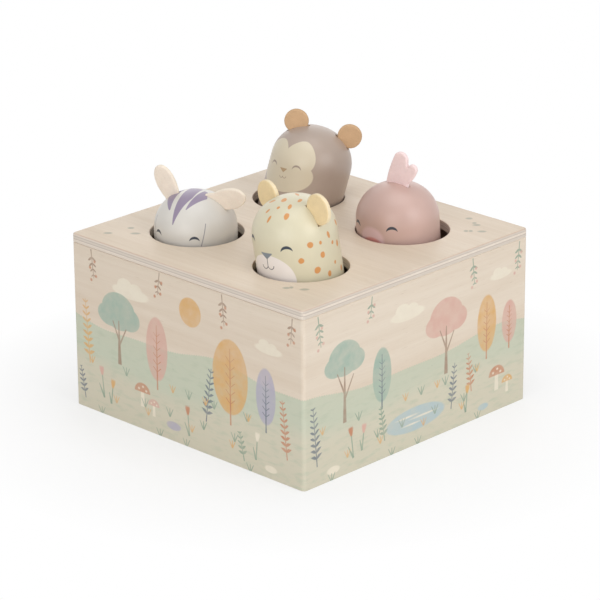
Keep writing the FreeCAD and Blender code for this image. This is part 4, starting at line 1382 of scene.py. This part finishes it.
def spring_piece(name, path, material):
    """A round wire along a list of points, with flat ground ends."""
    work = bmesh.new()
    rings = []
    for number, point in enumerate(path):
        before = path[max(number - 1, 0)]
        after = path[min(number + 1, len(path) - 1)]
        tangent = (after - before).normalized()
        side = (UP - tangent * UP.dot(tangent)).normalized()
        other = tangent.cross(side)
        ring = []
        for step in range(WIRE_SIDES):
            cosine, sine = cos_sin(360 * step / WIRE_SIDES)
            offset = (side * cosine + other * sine) * (SPRING_WIRE / 2)
            ring.append(work.verts.new((point + offset) * MM))
        rings.append(ring)
    for first, second in zip(rings, rings[1:]):
        bridge(work, first, second)
    work.faces.new(rings[0])
    work.faces.new(rings[-1])
    bmesh.ops.recalc_face_normals(work, faces=work.faces)
    piece = smooth_piece(work, name, material)
    return piece


def make_springs(material):
    """Each spring is two pieces: a lower one from the seat up to a turn and a half, and an
    upper one from there to the head."""
    across = UP.cross(DIAGONAL)
    for animal in ANIMALS:
        spine = Spine(animal)
        path = []
        for step in range(SPRING_TURNS * STEPS_PER_TURN + 1):
            turn = step / STEPS_PER_TURN
            point, direction = spine.place(spine.level(turn))
            outward = across.cross(direction).normalized()
            cosine, sine = cos_sin(360 * turn)
            offset = outward * cosine - direction.cross(outward) * sine
            path.append(point + offset * SPRING_RADIUS)
        split = int(SPLIT_TURN * STEPS_PER_TURN)
        ends = (0, SPLIT_TURN, SPRING_TURNS)
        foot, middle, head = (spine.place(spine.level(turn))[0] for turn in ends)
        lower = spring_piece(f"{animal}_spring_lower", path[: split + 1], material)
        foot * MM
        middle * MM
        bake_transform(lower)
        upper = spring_piece(f"{animal}_spring_upper", path[split:], material)
        middle * MM
        head * MM
        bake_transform(upper)
        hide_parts(f"{animal}_spring")


# --------------------------------------------------------------- floor, light, camera


def seen_directly(tree):
    """1 for what the camera sees, straight or in metal or glass, and 0 for light."""
    ray = tree.nodes.new("ShaderNodeLightPath")
    seen = Field(tree, ray.outputs["Is Camera Ray"])
    seen = seen.either(Field(tree, ray.outputs["Is Glossy Ray"]))
    return seen.either(Field(tree, ray.outputs["Is Transmission Ray"]))


# In metres.
FLOOR_REACH = 6.0
FLOOR_CORNERS = ((-1, -1), (1, -1), (1, 1), (-1, 1))
# What the lamps and the camera look at.
TARGET_HEIGHT = 60.0


def make_floor():
    """A pale floor that keeps the toy's shadow and turns white away from it."""
    mesh = bpy.data.meshes.new("floor")
    corners = [(x * FLOOR_REACH, y * FLOOR_REACH, 0) for x, y in FLOOR_CORNERS]
    mesh.from_pydata(corners, [], [(0, 1, 2, 3)])
    floor = new_object("floor", mesh)
    floor.location.z = -0.1 * MM
    paint = Paint("floor_paper", 0.9, Specular_IOR_Level=0.1)
    paint.shader.inputs["Base Color"].default_value = linear((246, 246, 246))
    away = paint.length(paint.place)
    shown = away.remap(0.11, 0.185, 0.62, 1.0).both(seen_directly(paint.tree))
    white = paint.new("ShaderNodeEmission").outputs[0]
    surface = paint.choice(shown, paint.shader.outputs[0], white)
    feed(paint.tree, paint.tree.nodes["Material Output"].inputs["Surface"], surface)
    mesh.materials.append(paint.material)


def make_world():
    """Plain light from all sides, and white where the camera looks past the floor."""
    world = bpy.data.worlds.new("studio")
    bpy.context.scene.world = world
    world.use_nodes = True
    sky = Board(world.node_tree)
    light = sky.tree.nodes["Background"]
    white = sky.new("ShaderNodeBackground")
    for background, strength in ((light, 0.38), (white, 1.0)):
        background.inputs["Color"].default_value = (1, 1, 1, 1)
        background.inputs["Strength"].default_value = strength
    surface = sky.choice(seen_directly(sky.tree), light.outputs[0], white.outputs[0])
    feed(sky.tree, sky.tree.nodes["World Output"].inputs["Surface"], surface)


def outward_at(azimuth, elevation):
    """Direction away from the toy. Azimuth 0 is in front, 90 at +X."""
    ahead, aside = cos_sin(azimuth)
    level, rise = cos_sin(elevation)
    return Vector((aside * level, -ahead * level, rise))


def make_lamp(name, azimuth, elevation, distance, size, power):
    """A soft square lamp that looks at the toy, with its distance and size in metres
    and its power in watts."""
    data = bpy.data.lights.new(name, "AREA")
    data.size = size
    data.energy = power
    lamp = new_object(name, data)
    outward = outward_at(azimuth, elevation)
    lamp.location = UP * (TARGET_HEIGHT * MM) + outward * distance
    lamp.rotation_mode = "QUATERNION"
    lamp.rotation_quaternion = (-outward).to_track_quat("-Z", "Y")


def make_lights():
    make_lamp("key", 92, 27, 1.4, 0.8, 5.9)
    make_lamp("fill", 18, 15, 1.6, 1.0, 7.1)
    make_lamp("top", 60, 85, 1.5, 1.2, 7.6)
    make_lamp("back", 225, 26, 1.6, 1.2, 3.2)


CAMERA = dict(azimuth=44.40, elevation=20.76, roll=-0.39, distance=1611.1, lens=193.66)
# How far the camera is moved to its right and up.
CAMERA_SHIFT = (-0.11, -5.31)


def make_camera():
    back = outward_at(CAMERA["azimuth"], CAMERA["elevation"])
    level = UP.cross(back).normalized()
    right, top = turned(level, back.cross(level), *cos_sin(CAMERA["roll"]))
    data = bpy.data.cameras.new("camera")
    data.sensor_width = 36.0
    data.lens = CAMERA["lens"]
    camera = new_object("camera", data)
    place = UP * TARGET_HEIGHT + back * CAMERA["distance"]
    place += right * CAMERA_SHIFT[0] + top * CAMERA_SHIFT[1]
    camera.matrix_world = axes(place * MM, right, top, back)
    bpy.context.scene.camera = camera


# ---------------------------------------------------------------------------- making

make_camera()
make_floor()
make_world()
make_lights()
bpy.context.scene.view_settings.view_transform = "Standard"

make_top_plate()
make_plain_woods()
make_panels()
paint_leopard()
paint_zebra()
paint_bird()
paint_monkey()
make_felt()
make_springs(make_steels())
